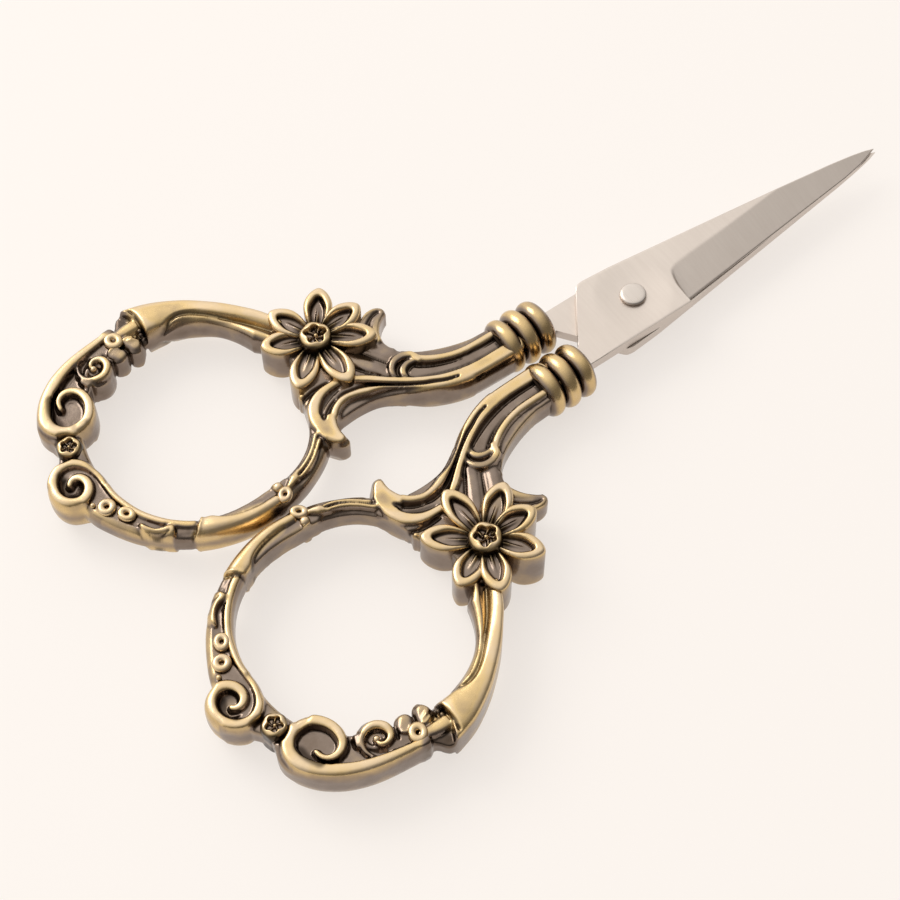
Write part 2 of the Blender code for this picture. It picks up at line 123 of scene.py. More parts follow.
def new_group(kind, name, inputs, outputs):
    """An empty node group, with its named inputs and outputs as name and kind of socket."""
    tree = bpy.data.node_groups.new(name, f"{kind}NodeTree")
    for side, sockets in (("INPUT", inputs), ("OUTPUT", outputs)):
        for label, socket in sockets.items():
            tree.interface.new_socket(label, in_out=side, socket_type=f"NodeSocket{socket}")
    return tree, tree.nodes.new("NodeGroupInput").outputs, tree.nodes.new("NodeGroupOutput")


def feed(node, **inputs):
    """Set a node's inputs, by name or number: to a value, or from a node's or a given output."""
    for key, value in inputs.items():
        socket = node.inputs[int(key[1:]) if key[0] == "_" else key.replace("_", " ")]
        if isinstance(value, bpy.types.Node):
            value = value.outputs[0]
        if isinstance(value, bpy.types.NodeSocket):
            node.id_data.links.new(value, socket)
        else:
            socket.default_value = value


def add_node(tree, kind, settings=None, **inputs):
    """A new node with its settings and its inputs."""
    node = tree.nodes.new(kind)
    for key, value in (settings or {}).items():
        setattr(node, key, value)
    feed(node, **inputs)
    return node


def between(tree, factor, first, second):
    """The colour between two, each a plain one or a node's."""
    ends = [(*end, 1) if isinstance(end, tuple) else end for end in (first, second)]
    mix = add_node(tree, "ShaderNodeMix", {"data_type": "RGBA"}, Factor=factor, _6=ends[0], _7=ends[1])
    return mix.outputs[2]


def new_metal(name):
    """A bare metal material, its node tree and its shader."""
    material = bpy.data.materials.new(name)
    material.use_nodes = True
    shader = material.node_tree.nodes["Principled BSDF"]
    feed(shader, Metallic=1.0)
    return material, material.node_tree, shader


def wheel_marks():
    """Grinding lines across the blade and soft clouds, as a mask and a height."""
    tree, given, result = new_group(
        "Shader", "wheel_marks", {"Line Scale": "Float", "Cloud Scale": "Float"},
        {"Mask": "Float", "Height": "Float"},
    )
    place = add_node(tree, "ShaderNodeTexCoord").outputs["Object"]
    stretch = add_node(tree, "ShaderNodeMapping", Vector=place, Scale=(1.0, 0.06, 0.3))
    lines = add_node(
        tree, "ShaderNodeTexNoise", Vector=stretch, Scale=given["Line Scale"], Detail=6.0, Roughness=0.6,
    )
    clouds = add_node(tree, "ShaderNodeTexNoise", Vector=place, Scale=given["Cloud Scale"], Detail=3.0)
    blend = add_node(tree, "ShaderNodeMix", {"data_type": "FLOAT"}, Factor=0.45, _2=lines, _3=clouds)
    feed(result, Mask=blend, Height=lines)
    return tree


WHEEL_MARKS = wheel_marks()


def steel(name, dark, light, rough, bump):
    """Satin stainless steel between two tones, with its grinding marks."""
    material, tree, shader = new_metal(name)
    marks = add_node(
        tree, "ShaderNodeGroup", {"node_tree": WHEEL_MARKS}, Line_Scale=LINE_SCALE, Cloud_Scale=CLOUD_SCALE,
    ).outputs
    tone = add_node(tree, "ShaderNodeMapRange", Value=marks["Mask"], From_Min=0.35, From_Max=0.65)
    roughness = add_node(
        tree, "ShaderNodeMapRange", Value=marks["Mask"], From_Min=0.3, From_Max=0.7,
        To_Min=rough - 0.05, To_Max=rough + 0.06,
    )
    relief = add_node(tree, "ShaderNodeBump", Height=marks["Height"], Strength=bump, Distance=MARK_DEPTH)
    feed(shader, Base_Color=between(tree, tone, dark, light), Roughness=roughness, Normal=relief)
    return material


blade_steel = steel("blade_steel", *BLADE_TONES, rough=0.36, bump=0.10)
rivet_steel = steel("rivet_steel", *RIVET_TONES, rough=0.28, bump=0.12)

# Blades
# Each blade is stamped from 1.5 mm stainless strip with its tang in one piece, and ground
# on the outer face from a rounded plunge at the ricasso down to a thin cutting edge.
THICKNESS = 1.5
SLIDING_GAP = 0.05              # blade face to the sliding plane
EDGE_THICKNESS = 0.25
TIP_THICKNESS = 0.12            # the least that the grind leaves
TANG_END = -24.25
TIP = 41.5
HEEL_STEP = (5.6, 5.62)         # where the edge starts, a step in from the ricasso
# the side with the cutting edge, and the spine's side, as (x, distance out)
EDGE_SIDE = (
    (TANG_END, 5.2), (HEEL_STEP[0], 5.2), (HEEL_STEP[1], 4.42), (6.0, 4.2), (35.0, 1.3), (36.6, 1.06),
    (38.3, 0.75), (39.9, 0.32), (TIP, -0.2),
)
SPINE_SIDE = (
    (TANG_END, 2.2), (-10.55, 2.2), (-5.4, -4.9), (-5.0, -5.3), (-4.4, -5.45), (-3.9, -5.47),
    (0.0, -5.2), (26.5, -2.0), (34.0, -1.28), (38.0, -0.82), (40.2, -0.5), (TIP, -0.2),
)
# where the grind meets the flat, as (x, distance out): round the plunge, then along the blade
PLUNGE = ((5.2, 4.6), (5.3, 2.0), (5.6, 1.0), (6.0, 0.0), (6.6, -0.35))
GRIND_TOP = (
    *PLUNGE, (7.5, -0.6), (10.0, -0.85), (15.0, -1.15), (20.0, -1.55), (23.0, -1.8), (26.3, -2.05),
)
RUN_OUT = 0.55                  # length over which the plunge goes down to the full grind
RIM_ROUND = 0.10
RIM_DROP = 0.06
CUPPED = 5.2                    # radius of the shallow dish pressed round the rivet
CUP_DEPTH = 0.34
# sections along the blade, as (from, to, how many), close together at the heel and the plunge
STRETCHES = (
    (TANG_END, -10.6, 12), (-10.55, -3.9, 34), (-3.9, 5.0, 46), (5.0, 7.6, 54), (7.6, 34.0, 60),
    (34.0, TIP, 40),
)
POINTS_ACROSS = 46
CROWDED = 0.35                  # how far those points crowd towards the two sides


def follow(table, x):
    """Distance at x along a table of (x, distance) pairs."""
    return np.interp(x, [row[0] for row in table], [row[1] for row in table])


def eased(values, low, high):
    """0 below low, 1 above high, and a smooth rise between."""
    share = np.clip((values - low) / (high - low), 0, 1)
    return share * share * (3 - 2 * share)


def blade_mesh():
    """One blade, its outer face at the bottom, as sections across its length."""
    stations = np.unique(np.concatenate([np.linspace(*stretch) for stretch in STRETCHES] + [HEEL_STEP]))
    share = np.linspace(0, 1, POINTS_ACROSS)
    share = CROWDED * (1 - np.cos(pi * share)) / 2 + (1 - CROWDED) * share
    edge = follow(EDGE_SIDE, stations)[:, None]
    spine = follow(SPINE_SIDE, stations)[:, None]
    out = spine + (edge - spine) * share
    along = np.broadcast_to(stations[:, None], out.shape)

    # the grind: a plane from its top line down to the cutting edge, run out round the plunge
    full = np.minimum(stations, GRIND_TOP[-1][0])
    ground_off = THICKNESS - EDGE_THICKNESS
    slope = ground_off / (follow(EDGE_SIDE, full) - follow(GRIND_TOP, full))
    plane = ground_off - slope[:, None] * (edge - out)
    plunge_x = follow([(y, x) for x, y in reversed(PLUNGE)], out)
    ground = np.maximum(plane, 0) * eased(along - plunge_x, 0, RUN_OUT) * (along > PLUNGE[0][0])

    # a shallow dish round the rivet, and a small rounding along both sides
    dish = CUP_DEPTH * np.clip(1 - (np.hypot(along, out) / CUPPED) ** 2, 0, 1) ** 1.5
    from_side = np.minimum(share, 1 - share) * np.maximum(edge - spine, 1e-3)
    lip = RIM_DROP * np.clip(1 - from_side / RIM_ROUND, 0, 1) ** 2
    height = np.maximum(THICKNESS - ground - dish - lip, TIP_THICKNESS)

    rows, count = out.shape
    under = rows * count
    top = np.stack([along, out, -SLIDING_GAP - height], axis=2).reshape(-1, 3)
    bottom = np.stack([along, out, np.full_like(out, -SLIDING_GAP)], axis=2).reshape(-1, 3)
    faces = net_faces(rows, count)
    faces += [tuple(under + index for index in reversed(quad)) for quad in faces]
    rim = list(range(count))
    rim += [row * count + count - 1 for row in range(1, rows)]
    rim += [(rows - 1) * count + step for step in range(count - 2, -1, -1)]
    rim += [row * count for row in range(rows - 2, 0, -1)]
    for start, end in zip(rim, rim[1:] + rim[:1]):
        faces.append((start, under + start, under + end, end))
    mesh = mesh_of("blade", np.vstack([top, bottom]), faces)
    shade_by_angle(mesh, 32)
    return mesh


blade = blade_mesh()
piece_on("lower_blade_ground", blade, left_place, "left_half", blade_steel, "lower_blade")
piece_on("upper_blade_ground", blade, right_place, "right_half", blade_steel, "upper_blade")

# Pivot rivet
# A steel rivet, set cold: a low crowned head on the upper blade, the shaft through both
# blades, and a hammered tail under the lower one.
RIVET_PROFILE = (               # radius, height, from the head down to the tail
    (0.0, 1.84), (0.7, 1.83), (1.2, 1.81), (1.50, 1.77), (1.62, 1.70), (1.67, 1.60), (1.66, 1.48),
    (1.5, 1.40), (1.45, 1.12), (1.1, 1.12), (1.1, -1.6), (1.6, -1.6), (1.6, -1.68), (1.5, -1.82),
    (1.25, -1.95), (0.8, -2.04), (0.0, -2.07),
)
RIVET_STEPS = 64

rivet_turns = [2 * pi * step / RIVET_STEPS for step in range(RIVET_STEPS)]
rivet = mesh_of("rivet", [
    (radius * cos(angle), radius * sin(angle), height)
    for angle in rivet_turns for radius, height in RIVET_PROFILE
], net_faces(RIVET_STEPS, len(RIVET_PROFILE), round_rows=True))
shade_by_angle(rivet, 40)
piece_on("rivet_set", rivet, left_place, "left_half", rivet_steel, "pivot_rivet")

# Cast handles: the bodies
# Each handle is one zinc casting with relief on both faces, made here as a field: a plan
# outline, and over it a height that ridges raise and panels sink, then skinned in a net.
FAR = 9.0                       # further out, or higher, than any piece reaches
BLUNT = 0.1                     # the slope of a panel or plateau starts this far inside its outline
LINE_MARGIN = 1.0               # how far past its own reach a line can change the grid
LOOP_MARGIN = 4.0               # and how far past its outline a loop can
# mean heights of the face, as (reach of the mean, height that it takes outside the plan)
CLOSE_BY = (0.18, 1.8)
FURTHER_ROUND = (0.80, 1.2)
# how bright a side wall is painted, going up: darker towards its foot
WALL_UP = (0.0, 1.0, 1.7, 2.2, 2.5)
WALL_BRIGHTNESS = (0.24, 0.32, 0.44, 0.58, 0.68)


def smooth_line(points, steps=6, closed=False, passes=3):
    """Points of a curve that runs smoothly through the given ones."""
    anchors = np.array(points, float)
    if closed:
        anchors = np.vstack([anchors[-1], anchors, anchors[0], anchors[1]])
    else:
        anchors = np.vstack([2 * anchors[0] - anchors[1], anchors, 2 * anchors[-1] - anchors[-2]])
    line = []
    for before, start, end, after in zip(anchors, anchors[1:], anchors[2:], anchors[3:]):
        for step in range(steps):
            share = step / steps
            line.append(0.5 * (
                2 * start + (end - before) * share + (2 * before - 5 * start + 4 * end - after) * share ** 2
                + (3 * start - before - 3 * end + after) * share ** 3
            ))
    if not closed:
        line.append(anchors[-2])
    line = np.array(line)
    for _ in range(passes):
        if closed:
            line = (np.roll(line, 1, 0) + 2 * line + np.roll(line, -1, 0)) / 4
        else:
            line[1:-1] = (line[:-2] + 2 * line[1:-1] + line[2:]) / 4
    return line


def nearest(line, x, y):
    """Distance from each place to a line, and how far along the line its nearest point is."""
    best = np.full(x.shape, 1e9)
    along = np.zeros(x.shape)
    for count, (start, end) in enumerate(zip(line, line[1:])):
        run = end - start
        share = ((x - start[0]) * run[0] + (y - start[1]) * run[1]) / max(run @ run, 1e-12)
        share = np.clip(share, 0, 1)
        distance = np.hypot(x - start[0] - share * run[0], y - start[1] - share * run[1])
        closer = distance < best
        best = np.where(closer, distance, best)
        along = np.where(closer, (count + share) / (len(line) - 1), along)
    return best, along


def inside_distance(loop, x, y):
    """Signed distance to a closed loop, negative inside it."""
    closed = np.vstack([loop, loop[:1]])
    distance, _ = nearest(closed, x, y)
    inside = np.zeros(x.shape, bool)
    for start, end in zip(closed, closed[1:]):
        if start[1] == end[1]:
            continue
        crosses = (start[1] > y) != (end[1] > y)
        at = start[0] + (y - start[1]) * (end[0] - start[0]) / (end[1] - start[1])
        inside ^= crosses & (x < at)
    return np.where(inside, -distance, distance)


def along_line(values, share):
    """A value that changes evenly from one to the next along a line."""
    values = np.atleast_1d(np.array(values, float))
    return np.interp(share, np.linspace(0, 1, len(values)), values) if len(values) > 1 else values[0]


def surface_net(values, low, cell):
    """Skin the zero surface of a field of values: points in the mixed cells, quads between."""
    inside = values < 0
    corners = [
        inside[i:inside.shape[0] - 1 + i, j:inside.shape[1] - 1 + j, k:inside.shape[2] - 1 + k]
        for i in (0, 1) for j in (0, 1) for k in (0, 1)
    ]
    mixed = np.logical_or.reduce(corners) & ~np.logical_and.reduce(corners)
    cells = np.argwhere(mixed)
    index = np.full(mixed.shape, -1, int)
    index[mixed] = np.arange(len(cells))
    total = np.zeros((len(cells), 3))
    count = np.zeros(len(cells))
    for first in [(i, j, k) for i in (0, 1) for j in (0, 1) for k in (0, 1)]:
        for axis in range(3):
            if first[axis]:
                continue
            second = list(first)
            second[axis] = 1
            one = values[tuple((cells + first).T)]
            two = values[tuple((cells + second).T)]
            cut = (one < 0) != (two < 0)
            place = cells + np.array(first, float)
            place[:, axis] += np.where(cut, one / np.where(cut, one - two, 1.0), 0.0)
            total += np.where(cut[:, None], place, 0.0)
            count += cut
    points = low + cell * (total / count[:, None])
    faces = []
    for axis in range(3):
        before = [slice(1, -1)] * 3
        after = [slice(1, -1)] * 3
        before[axis] = slice(0, -1)
        after[axis] = slice(1, None)
        one = inside[tuple(before)]
        two = inside[tuple(after)]
        side, other = [name for name in range(3) if name != axis]
        for flip in (False, True):
            at = np.argwhere((two & ~one) if flip else (one & ~two))
            for across in (side, other):
                at[:, across] += 1
            ring = []
            for shift in ((0, 0), (1, 0), (1, 1), (0, 1)):
                cell_at = at.copy()
                cell_at[:, side] -= shift[0]
                cell_at[:, other] -= shift[1]
                ring.append(index[tuple(cell_at.T)])
            quad = np.stack(ring, axis=1)
            faces.append(quad[:, ::-1] if flip != (axis == 1) else quad)
    return points, np.vstack(faces)


def store(mesh, name, values):
    """Keep one number for each point of the mesh under a name."""
    attribute = mesh.attributes.new(name, "FLOAT", "POINT")
    attribute.data.foreach_set("value", np.asarray(values, np.float32))


class Relief:
    """The pattern of a casting, alike on both faces: its plan and the height of its face.

    outside holds the signed distance to the plan's outline, height that of the face above the
    middle, and rounding the radius between the two. Three more fields say where the brass
    stays dark, is rubbed bright or is left dull, and they also hold painted shade and painted light.
    """

    def __init__(self, low, high, cell, web, rounding):
        self.low = np.array(low)
        self.cell = cell
        sides = [np.arange(start, end, cell) for start, end in zip(low, high)]
        self.x, self.y = np.meshgrid(*sides, indexing="ij")
        shape = self.x.shape
        self.height = np.full(shape, web)
        self.outside = np.full(shape, FAR)
        self.rounding = np.full(shape, rounding)
        self.stain, self.shine, self.bloom_and_shade = np.zeros((3, *shape))

    def window(self, line, margin):
        """The part of the grid round a line, and its coordinates."""
        low = np.floor((line.min(0) - margin - self.low) / self.cell).astype(int)
        high = np.ceil((line.max(0) + margin - self.low) / self.cell).astype(int) + 1
        area = tuple(slice(*ends) for ends in np.maximum([low, high], 0).T)
        return area, self.x[area], self.y[area]

    def near(self, points, reach, passes=3):
        """Round a line: the part of the grid, its distance from the line, and how far along."""
        if len(points) > 2:
            line = smooth_line(points, passes=passes)
        else:
            line = np.array([*points, points[-1]], float)
        area, x, y = self.window(line, reach + LINE_MARGIN)
        return area, *nearest(line, x, y)

    def within(self, points, steps=5):
        """Round a loop: the part of the grid, and its distance from the loop, negative inside."""
        loop = smooth_line(points, steps, closed=True)
        area, x, y = self.window(loop, LOOP_MARGIN)
        return area, inside_distance(loop, x, y)

    def raise_to(self, area, level):
        """Bring lower places up to a level."""
        self.height[area] = np.maximum(self.height[area], level)

    def sink_to(self, area, level):
        """Bring higher places down to a level."""
        self.height[area] = np.minimum(self.height[area], level)

    def ridge(self, points, widths, crests, foot=1.3, fullness=2.6, solid=False):
        """Raise a rounded ridge along a line; a solid one also widens the plan."""
        area, distance, share = self.near(points, np.max(widths) / 2, passes=10 if solid else 3)
        half = along_line(widths, share) / 2
        swell = (1 - np.clip(distance / half, 0, 1) ** fullness) ** (1 / fullness)
        crown = foot + (along_line(crests, share) - foot) * swell
        self.raise_to(area, np.where(distance < half, crown, -FAR))
        if solid:
            self.outside[area] = np.minimum(self.outside[area], distance - half)

    def panel(self, points, floor, slope=2.5, blunt=BLUNT):
        """Sink a panel with a flat floor and sloping sides."""
        area, beyond = self.within(points, steps=4)
        self.sink_to(area, floor + slope * np.maximum(beyond + blunt, 0))

    def plateau(self, points, level, slope=2.5):
        """Raise an area to a flat top with sloping sides."""
        area, beyond = self.within(points)
        self.raise_to(area, level - slope * np.maximum(beyond + BLUNT, 0))

    def groove(self, points, widths, depth, dark):
        """Cut a narrow groove along a line and leave it dark."""
        area, distance, share = self.near(points, np.max(widths) / 2)
        reach = distance / (along_line(widths, share) / 2)
        self.height[area] -= depth * (1 - eased(reach, 0.2, 1.15))
        self.stain[area] = np.maximum(self.stain[area], dark * (1 - eased(reach, 0.35, 1.1)))

    def step(self, points, width, level, slope=3.0):
        """Lower the face to a narrow ledge beside a line."""
        area, distance, share = self.near(points, width)
        self.sink_to(area, along_line(level, share) + slope * np.maximum(distance - width, 0))

    def bowl(self, centre, radius, floor, fullness=2.0, brim=3.2):
        """Sink a round bowl."""
        reach = np.hypot(self.x - centre[0], self.y - centre[1]) / radius
        hollow = floor + (brim - floor) * reach ** (2 * fullness)
        self.sink_to(..., np.where(reach < 1, hollow, FAR))

    def area(self, points):
        """Add an area to the plan."""
        area, beyond = self.within(points)
        self.outside[area] = np.minimum(self.outside[area], beyond)

    def cut(self, points):
        """Take an area out of the plan."""
        area, beyond = self.within(points)
        self.outside[area] = np.maximum(self.outside[area], -beyond)

    def disc(self, centre, radius):
        """Add a disc to the plan."""
        beyond = np.hypot(self.x - centre[0], self.y - centre[1]) - radius
        self.outside = np.minimum(self.outside, beyond)

    def mark(self, field, points, reach, amount, full=0.4):
        """Raise a field near a line: by the full amount within a share of the reach."""
        area, distance, _ = self.near(points, reach)
        field[area] = np.maximum(field[area], amount * (1 - eased(distance, full * reach, reach)))

    def soften(self, points, radius, reach):
        """Round the edge of the face more near a line."""
        self.mark(self.rounding, points, reach, radius, full=0.5)

    def darken_dip_and_shade(self, points, reach, amount):
        """Leave more of the dark dip near a line; also used to paint shade, as round the flower."""
        self.mark(self.stain, points, reach, amount)

    def polish_and_light(self, points, reach, amount):
        """Rub the brass brighter near a line, down the side too: wear, and painted light on a side that
        catches it.
        """
        self.mark(self.shine, points, reach, amount)

    def dull_and_shade(self, points, reach, amount):
        """Leave the grey-brown bloom near a line; also used to paint shade, as round the flower."""
        self.mark(self.bloom_and_shade, points, reach, amount)

    def blurred(self, values, reach):
        """Values averaged over a soft round reach."""
        radius = int(3 * reach / self.cell)
        weights = np.exp(-0.5 * (np.arange(-radius, radius + 1) * self.cell / reach) ** 2)
        weights /= weights.sum()
        for axis in (0, 1):
            pad = [(radius, radius) if other == axis else (0, 0) for other in (0, 1)]
            padded = np.pad(values, pad, mode="edge")
            size = values.shape[axis]
            rows = [np.take(padded, range(step, step + size), axis) for step in range(2 * radius + 1)]
            values = sum(weight * row for weight, row in zip(weights, rows))
        return values

    def at(self, values, points):
        """Read a field at the points of a mesh."""
        spot = (points[:, :2] - self.low) / self.cell
        low = np.clip(np.floor(spot).astype(int), 0, np.array(values.shape) - 2)
        i, j = low.T
        u, v = np.clip(spot - low, 0, 1).T
        return (
            values[i, j] * (1 - u) * (1 - v) + values[i + 1, j] * u * (1 - v)
            + values[i, j + 1] * (1 - u) * v + values[i + 1, j + 1] * u * v
        )

    def wear(self, face, points):
        """How bright each point is painted and how dark: rubbed crests, brown walls, black creases, with
        painted light and painted shade.
        """
        level = np.abs(points[:, 2])
        here = self.at(face, points)
        in_plan = self.outside < 0.05
        close, wide = (
            self.at(self.blurred(np.where(in_plan, face, ground), reach), points)
            for reach, ground in (CLOSE_BY, FURTHER_ROUND)
        )
        steep = self.at(np.hypot(*np.gradient(face, self.cell)), points)
        on_top = eased(level, here - 0.45, here - 0.15)
        # the face is bright where it stands out from what lies round it, and painted darker on a steep flank
        # as painted shade
        raised = eased(here - wide, -0.12, 0.34) * np.interp(here, (1.6, 2.3), (0.35, 1.0))
        flank_shade = eased(steep, 0.35, 1.5) * eased(1.2 * here - wide, -0.5, 0.5)
        top_tone = np.clip(0.24 + 0.70 * raised - 0.34 * flank_shade, 0, 1)
        wall_tone = np.interp(level * 2.4 / np.maximum(here, 2.3), WALL_UP, WALL_BRIGHTNESS)
        # wear and painted light down the sides, less towards the middle of the wall
        polished_and_lit = self.at(self.shine, points) * np.interp(level, (0.0, 1.2), (0.5, 1.0))
        rubbed = np.maximum(wall_tone * (1 - on_top) + on_top * top_tone, polished_and_lit)
        # the dip stays in creases that lie lower than what is close by, and where it is stained; the stain
        # field also holds painted shade
        creased = on_top * eased(close - here, 0.08, 0.34)
        stained = self.at(self.stain, points) * eased(level, 0.3, 1.0)
        return rubbed * (1 - self.at(self.bloom_and_shade, points)), np.maximum(creased, stained)

    def cast(self, name, layer, top, softness=0.08):
        """Skin the pattern on both faces, and mark how rubbed and lit and how sunk and shaded each point is.
        """
        levels = np.arange(-top, top + layer, layer)
        face = self.blurred(self.height, softness)
        radius = self.rounding[:, :, None]
        over = np.abs(levels) - face[:, :, None] + radius
        beside = self.outside[:, :, None] + radius
        corner = np.hypot(np.maximum(over, 0), np.maximum(beside, 0))
        field = np.minimum(np.maximum(over, beside), 0) + corner - radius
        low = np.array((*self.low, levels[0]))
        points, faces = surface_net(field, low, np.array((self.cell, self.cell, layer)))
        mesh = bpy.data.meshes.new(name)
        mesh.from_pydata(points.tolist(), [], faces.tolist())
        mesh.shade_smooth()
        for label, values in zip(("rubbed", "sunk"), self.wear(face, points)):
            store(mesh, label, values)
        return mesh


handle = Relief(low=(-77.0, -0.6), high=(-15.8, 37.4), cell=0.16, web=1.75, rounding=0.4)

# the ring's outer side all round
handle.area((
    (-54.6, 35.75), (-52.2, 35.35), (-50.0, 34.6), (-47.0, 32.8), (-45.0, 31.2), (-43.0, 29.4),
    (-41.0, 27.1), (-39.4, 25.0), (-38.0, 22.0), (-37.5, 18.0), (-37.8, 13.0), (-38.5, 9.6), (-41.0, 6.6),
    (-43.6, 4.2), (-46.0, 2.6), (-50.0, 0.9), (-54.5, 0.25), (-58.0, 0.6), (-61.9, 2.1), (-64.8, 3.8),
    (-67.8, 6.3), (-69.7, 8.8), (-71.2, 11.6), (-71.9, 13.4), (-72.6, 17.0), (-71.6, 20.8), (-70.9, 21.8),
    (-70.4, 23.0), (-70.3, 24.0), (-70.9, 25.5), (-70.9, 27.0), (-70.0, 28.8), (-68.0, 30.9), (-66.0, 32.1),
    (-63.0, 33.35), (-60.0, 33.9), (-57.0, 34.2), (-55.6, 34.4),
))

# the shank, from the collar to the flower, with the web behind the flower
handle.area((
    (-15.9, 1.25), (-20.0, 1.05), (-24.0, 1.15), (-26.0, 1.6), (-28.2, 2.5), (-30.0, 3.5), (-32.0, 4.95),
    (-34.0, 6.1), (-36.0, 6.65), (-38.5, 6.75), (-41.0, 6.6), (-42.0, 8.0), (-42.0, 12.0), (-41.0, 18.0),
    (-36.4, 21.4), (-32.2, 19.0), (-30.6, 16.0), (-29.6, 13.4), (-29.2, 11.6), (-28.8, 10.6), (-27.4, 9.3),
    (-25.9, 8.45), (-23.9, 7.6), (-21.9, 7.0), (-19.9, 6.65), (-15.9, 6.4),
))

# the finger hole, an oval with fuller shoulders on the side of the flower
HOLE_MIDDLE = (-55.1, 16.9)
HOLE_HALF = (12.8, 13.5)
from_x, from_y = handle.x - HOLE_MIDDLE[0], handle.y - HOLE_MIDDLE[1]
across, along = np.abs(from_x) / HOLE_HALF[0], np.abs(from_y) / HOLE_HALF[1]
power = np.where(from_x > 0, 2.7, 2.2)
oval = np.maximum((across ** power + along ** power) ** (1 / power), 1e-6)
from_middle = np.hypot(from_x, from_y)
handle.outside = np.maximum(handle.outside, from_middle / oval - from_middle)

# the notch in the hole's side behind the flower
handle.cut((
    (-43.4, 12.3), (-41.8, 13.3), (-40.7, 15.2), (-40.5, 17.6), (-40.9, 19.8), (-41.9, 21.6), (-43.4, 22.6),
    (-44.6, 17.0),
))

# the lobes that stand into the hole and out of the ring, under the scrolls
for spot, radius in (
    ((-66.6, 26.7), 3.2), ((-60.95, 29.75), 1.95), ((-69.15, 22.1), 1.5), ((-71.65, 17.2), 2.8),
    ((-57.3, 30.6), 1.3), ((-54.9, 30.5), 1.2),
):
    handle.disc(spot, radius)

# the hooked leaf on the inner side, and the small leaf on the outer side
handle.area((
    (-38.4, 8.8), (-39.9, 7.9), (-40.6, 7.0), (-41.1, 6.1), (-41.4, 5.1), (-41.4, 4.4), (-41.15, 3.7),
    (-41.3, 3.1), (-42.0, 2.95), (-42.8, 3.3), (-43.6, 4.1), (-44.0, 5.2), (-44.1, 6.4), (-43.8, 7.8),
    (-43.1, 9.3), (-42.2, 10.4), (-41.1, 11.1), (-39.4, 11.4), (-36.4, 11.4),
))
handle.area((
    (-32.6, 13.6), (-31.0, 16.2), (-29.5, 17.4), (-28.2, 17.75), (-27.3, 17.6), (-26.8, 17.1),
    (-26.75, 16.5), (-27.3, 15.2), (-29.0, 13.4), (-30.4, 12.0),
))

# the gap between the small leaf and the shank
handle.cut((
    (-26.0, 16.3), (-26.8, 16.15), (-27.4, 15.9), (-28.1, 15.4), (-28.75, 14.8), (-29.3, 14.0),
    (-29.6, 13.1), (-29.6, 12.2), (-29.2, 11.3), (-28.2, 11.0), (-26.0, 12.5), (-25.0, 15.0),
))

# sides that are rounded like a rod: the outer side of the ring, and its inner side here and there
handle.soften((
    (-73.4, 13.4), (-72.6, 12.9), (-71.9, 12.0), (-70.8, 9.5), (-68.5, 5.8), (-65.0, 3.2), (-61.9, 1.6),
    (-58.0, 0.4), (-54.5, 0.1), (-50.0, 0.8), (-46.0, 2.5), (-44.4, 3.6),
), 1.35, 2.4)
for line, radius, reach in (
    (((-58.5, 34.6), (-62.0, 34.0), (-66.0, 32.6), (-69.0, 30.2), (-71.0, 27.2), (-70.9, 25.4)), 0.85, 1.6),
    (((-74.8, 18.0), (-74.5, 15.6), (-73.0, 13.8)), 1.1, 2.0),
    (((-66.6, 23.4), (-67.1, 21.0), (-67.8, 18.8), (-68.0, 16.6)), 1.2, 2.0),
    (((-67.9, 15.0), (-67.2, 11.5), (-65.0, 7.7), (-62.0, 5.2)), 0.7, 1.2),
    (((-52.6, 29.3), (-50.8, 29.0), (-48.8, 28.2), (-46.3, 26.7), (-44.0, 24.4), (-42.6, 21.5)), 1.6, 2.6),
    (((-18.0, 1.0), (-24.0, 1.0), (-28.2, 2.3), (-31.0, 4.1)), 0.8, 1.6),
):
    handle.soften(line, radius, reach)

# flared sheath at the outer side, a smooth sleeve, and the rod beside it on the hole side
handle.panel((
    (-54.6, 36.6), (-51.0, 36.6), (-46.0, 33.8), (-41.0, 28.8), (-37.8, 24.6), (-40.8, 20.6), (-44.0, 24.0),
    (-47.4, 27.6), (-51.0, 28.8), (-54.4, 28.6),
), 0.9, slope=20.0)
handle.ridge((
    (-38.6, 23.0), (-40.0, 25.2), (-41.7, 27.1), (-43.9, 29.0), (-46.3, 30.9), (-49.2, 32.3), (-51.6, 32.9),
    (-53.7, 33.2),
), (2.6, 2.8, 3.0, 3.2, 3.7, 4.5, 5.4, 6.1), (2.5, 2.55, 2.6, 2.7, 2.75, 2.8, 2.9, 2.95), foot=1.1,
    fullness=2.3)
handle.ridge((
    (-53.6, 29.9), (-51.9, 30.1), (-48.6, 30.7), (-46.0, 29.2), (-42.9, 26.0), (-40.4, 22.4),
), (1.2, 1.8, 1.7, 1.6, 1.6, 1.5), 1.8, foot=1.4, fullness=2.2)
handle.ridge((
    (-52.6, 29.6), (-50.8, 29.7), (-48.7, 29.6), (-46.8, 28.6), (-44.8, 26.6), (-42.9, 24.1), (-41.0, 21.0),
), (0.9, 1.4, 1.9, 2.3, 2.5, 2.5, 2.4), (1.9, 2.1, 2.2, 2.35, 2.4, 2.4, 2.3), foot=1.0, fullness=2.0)
handle.groove((
    (-53.4, 29.9), (-51.7, 30.15), (-49.3, 30.85), (-47.6, 30.55), (-45.6, 29.15), (-42.5, 25.95),
    (-40.0, 22.35),
), (0.3, 0.35, 0.55, 0.65, 0.65, 0.6, 0.5), 0.5, 0.7)
handle.dull_and_shade(((-51.0, 29.3), (-48.0, 28.6), (-45.4, 26.4), (-43.2, 23.6), (-42.0, 21.0)), 0.9, 0.35)

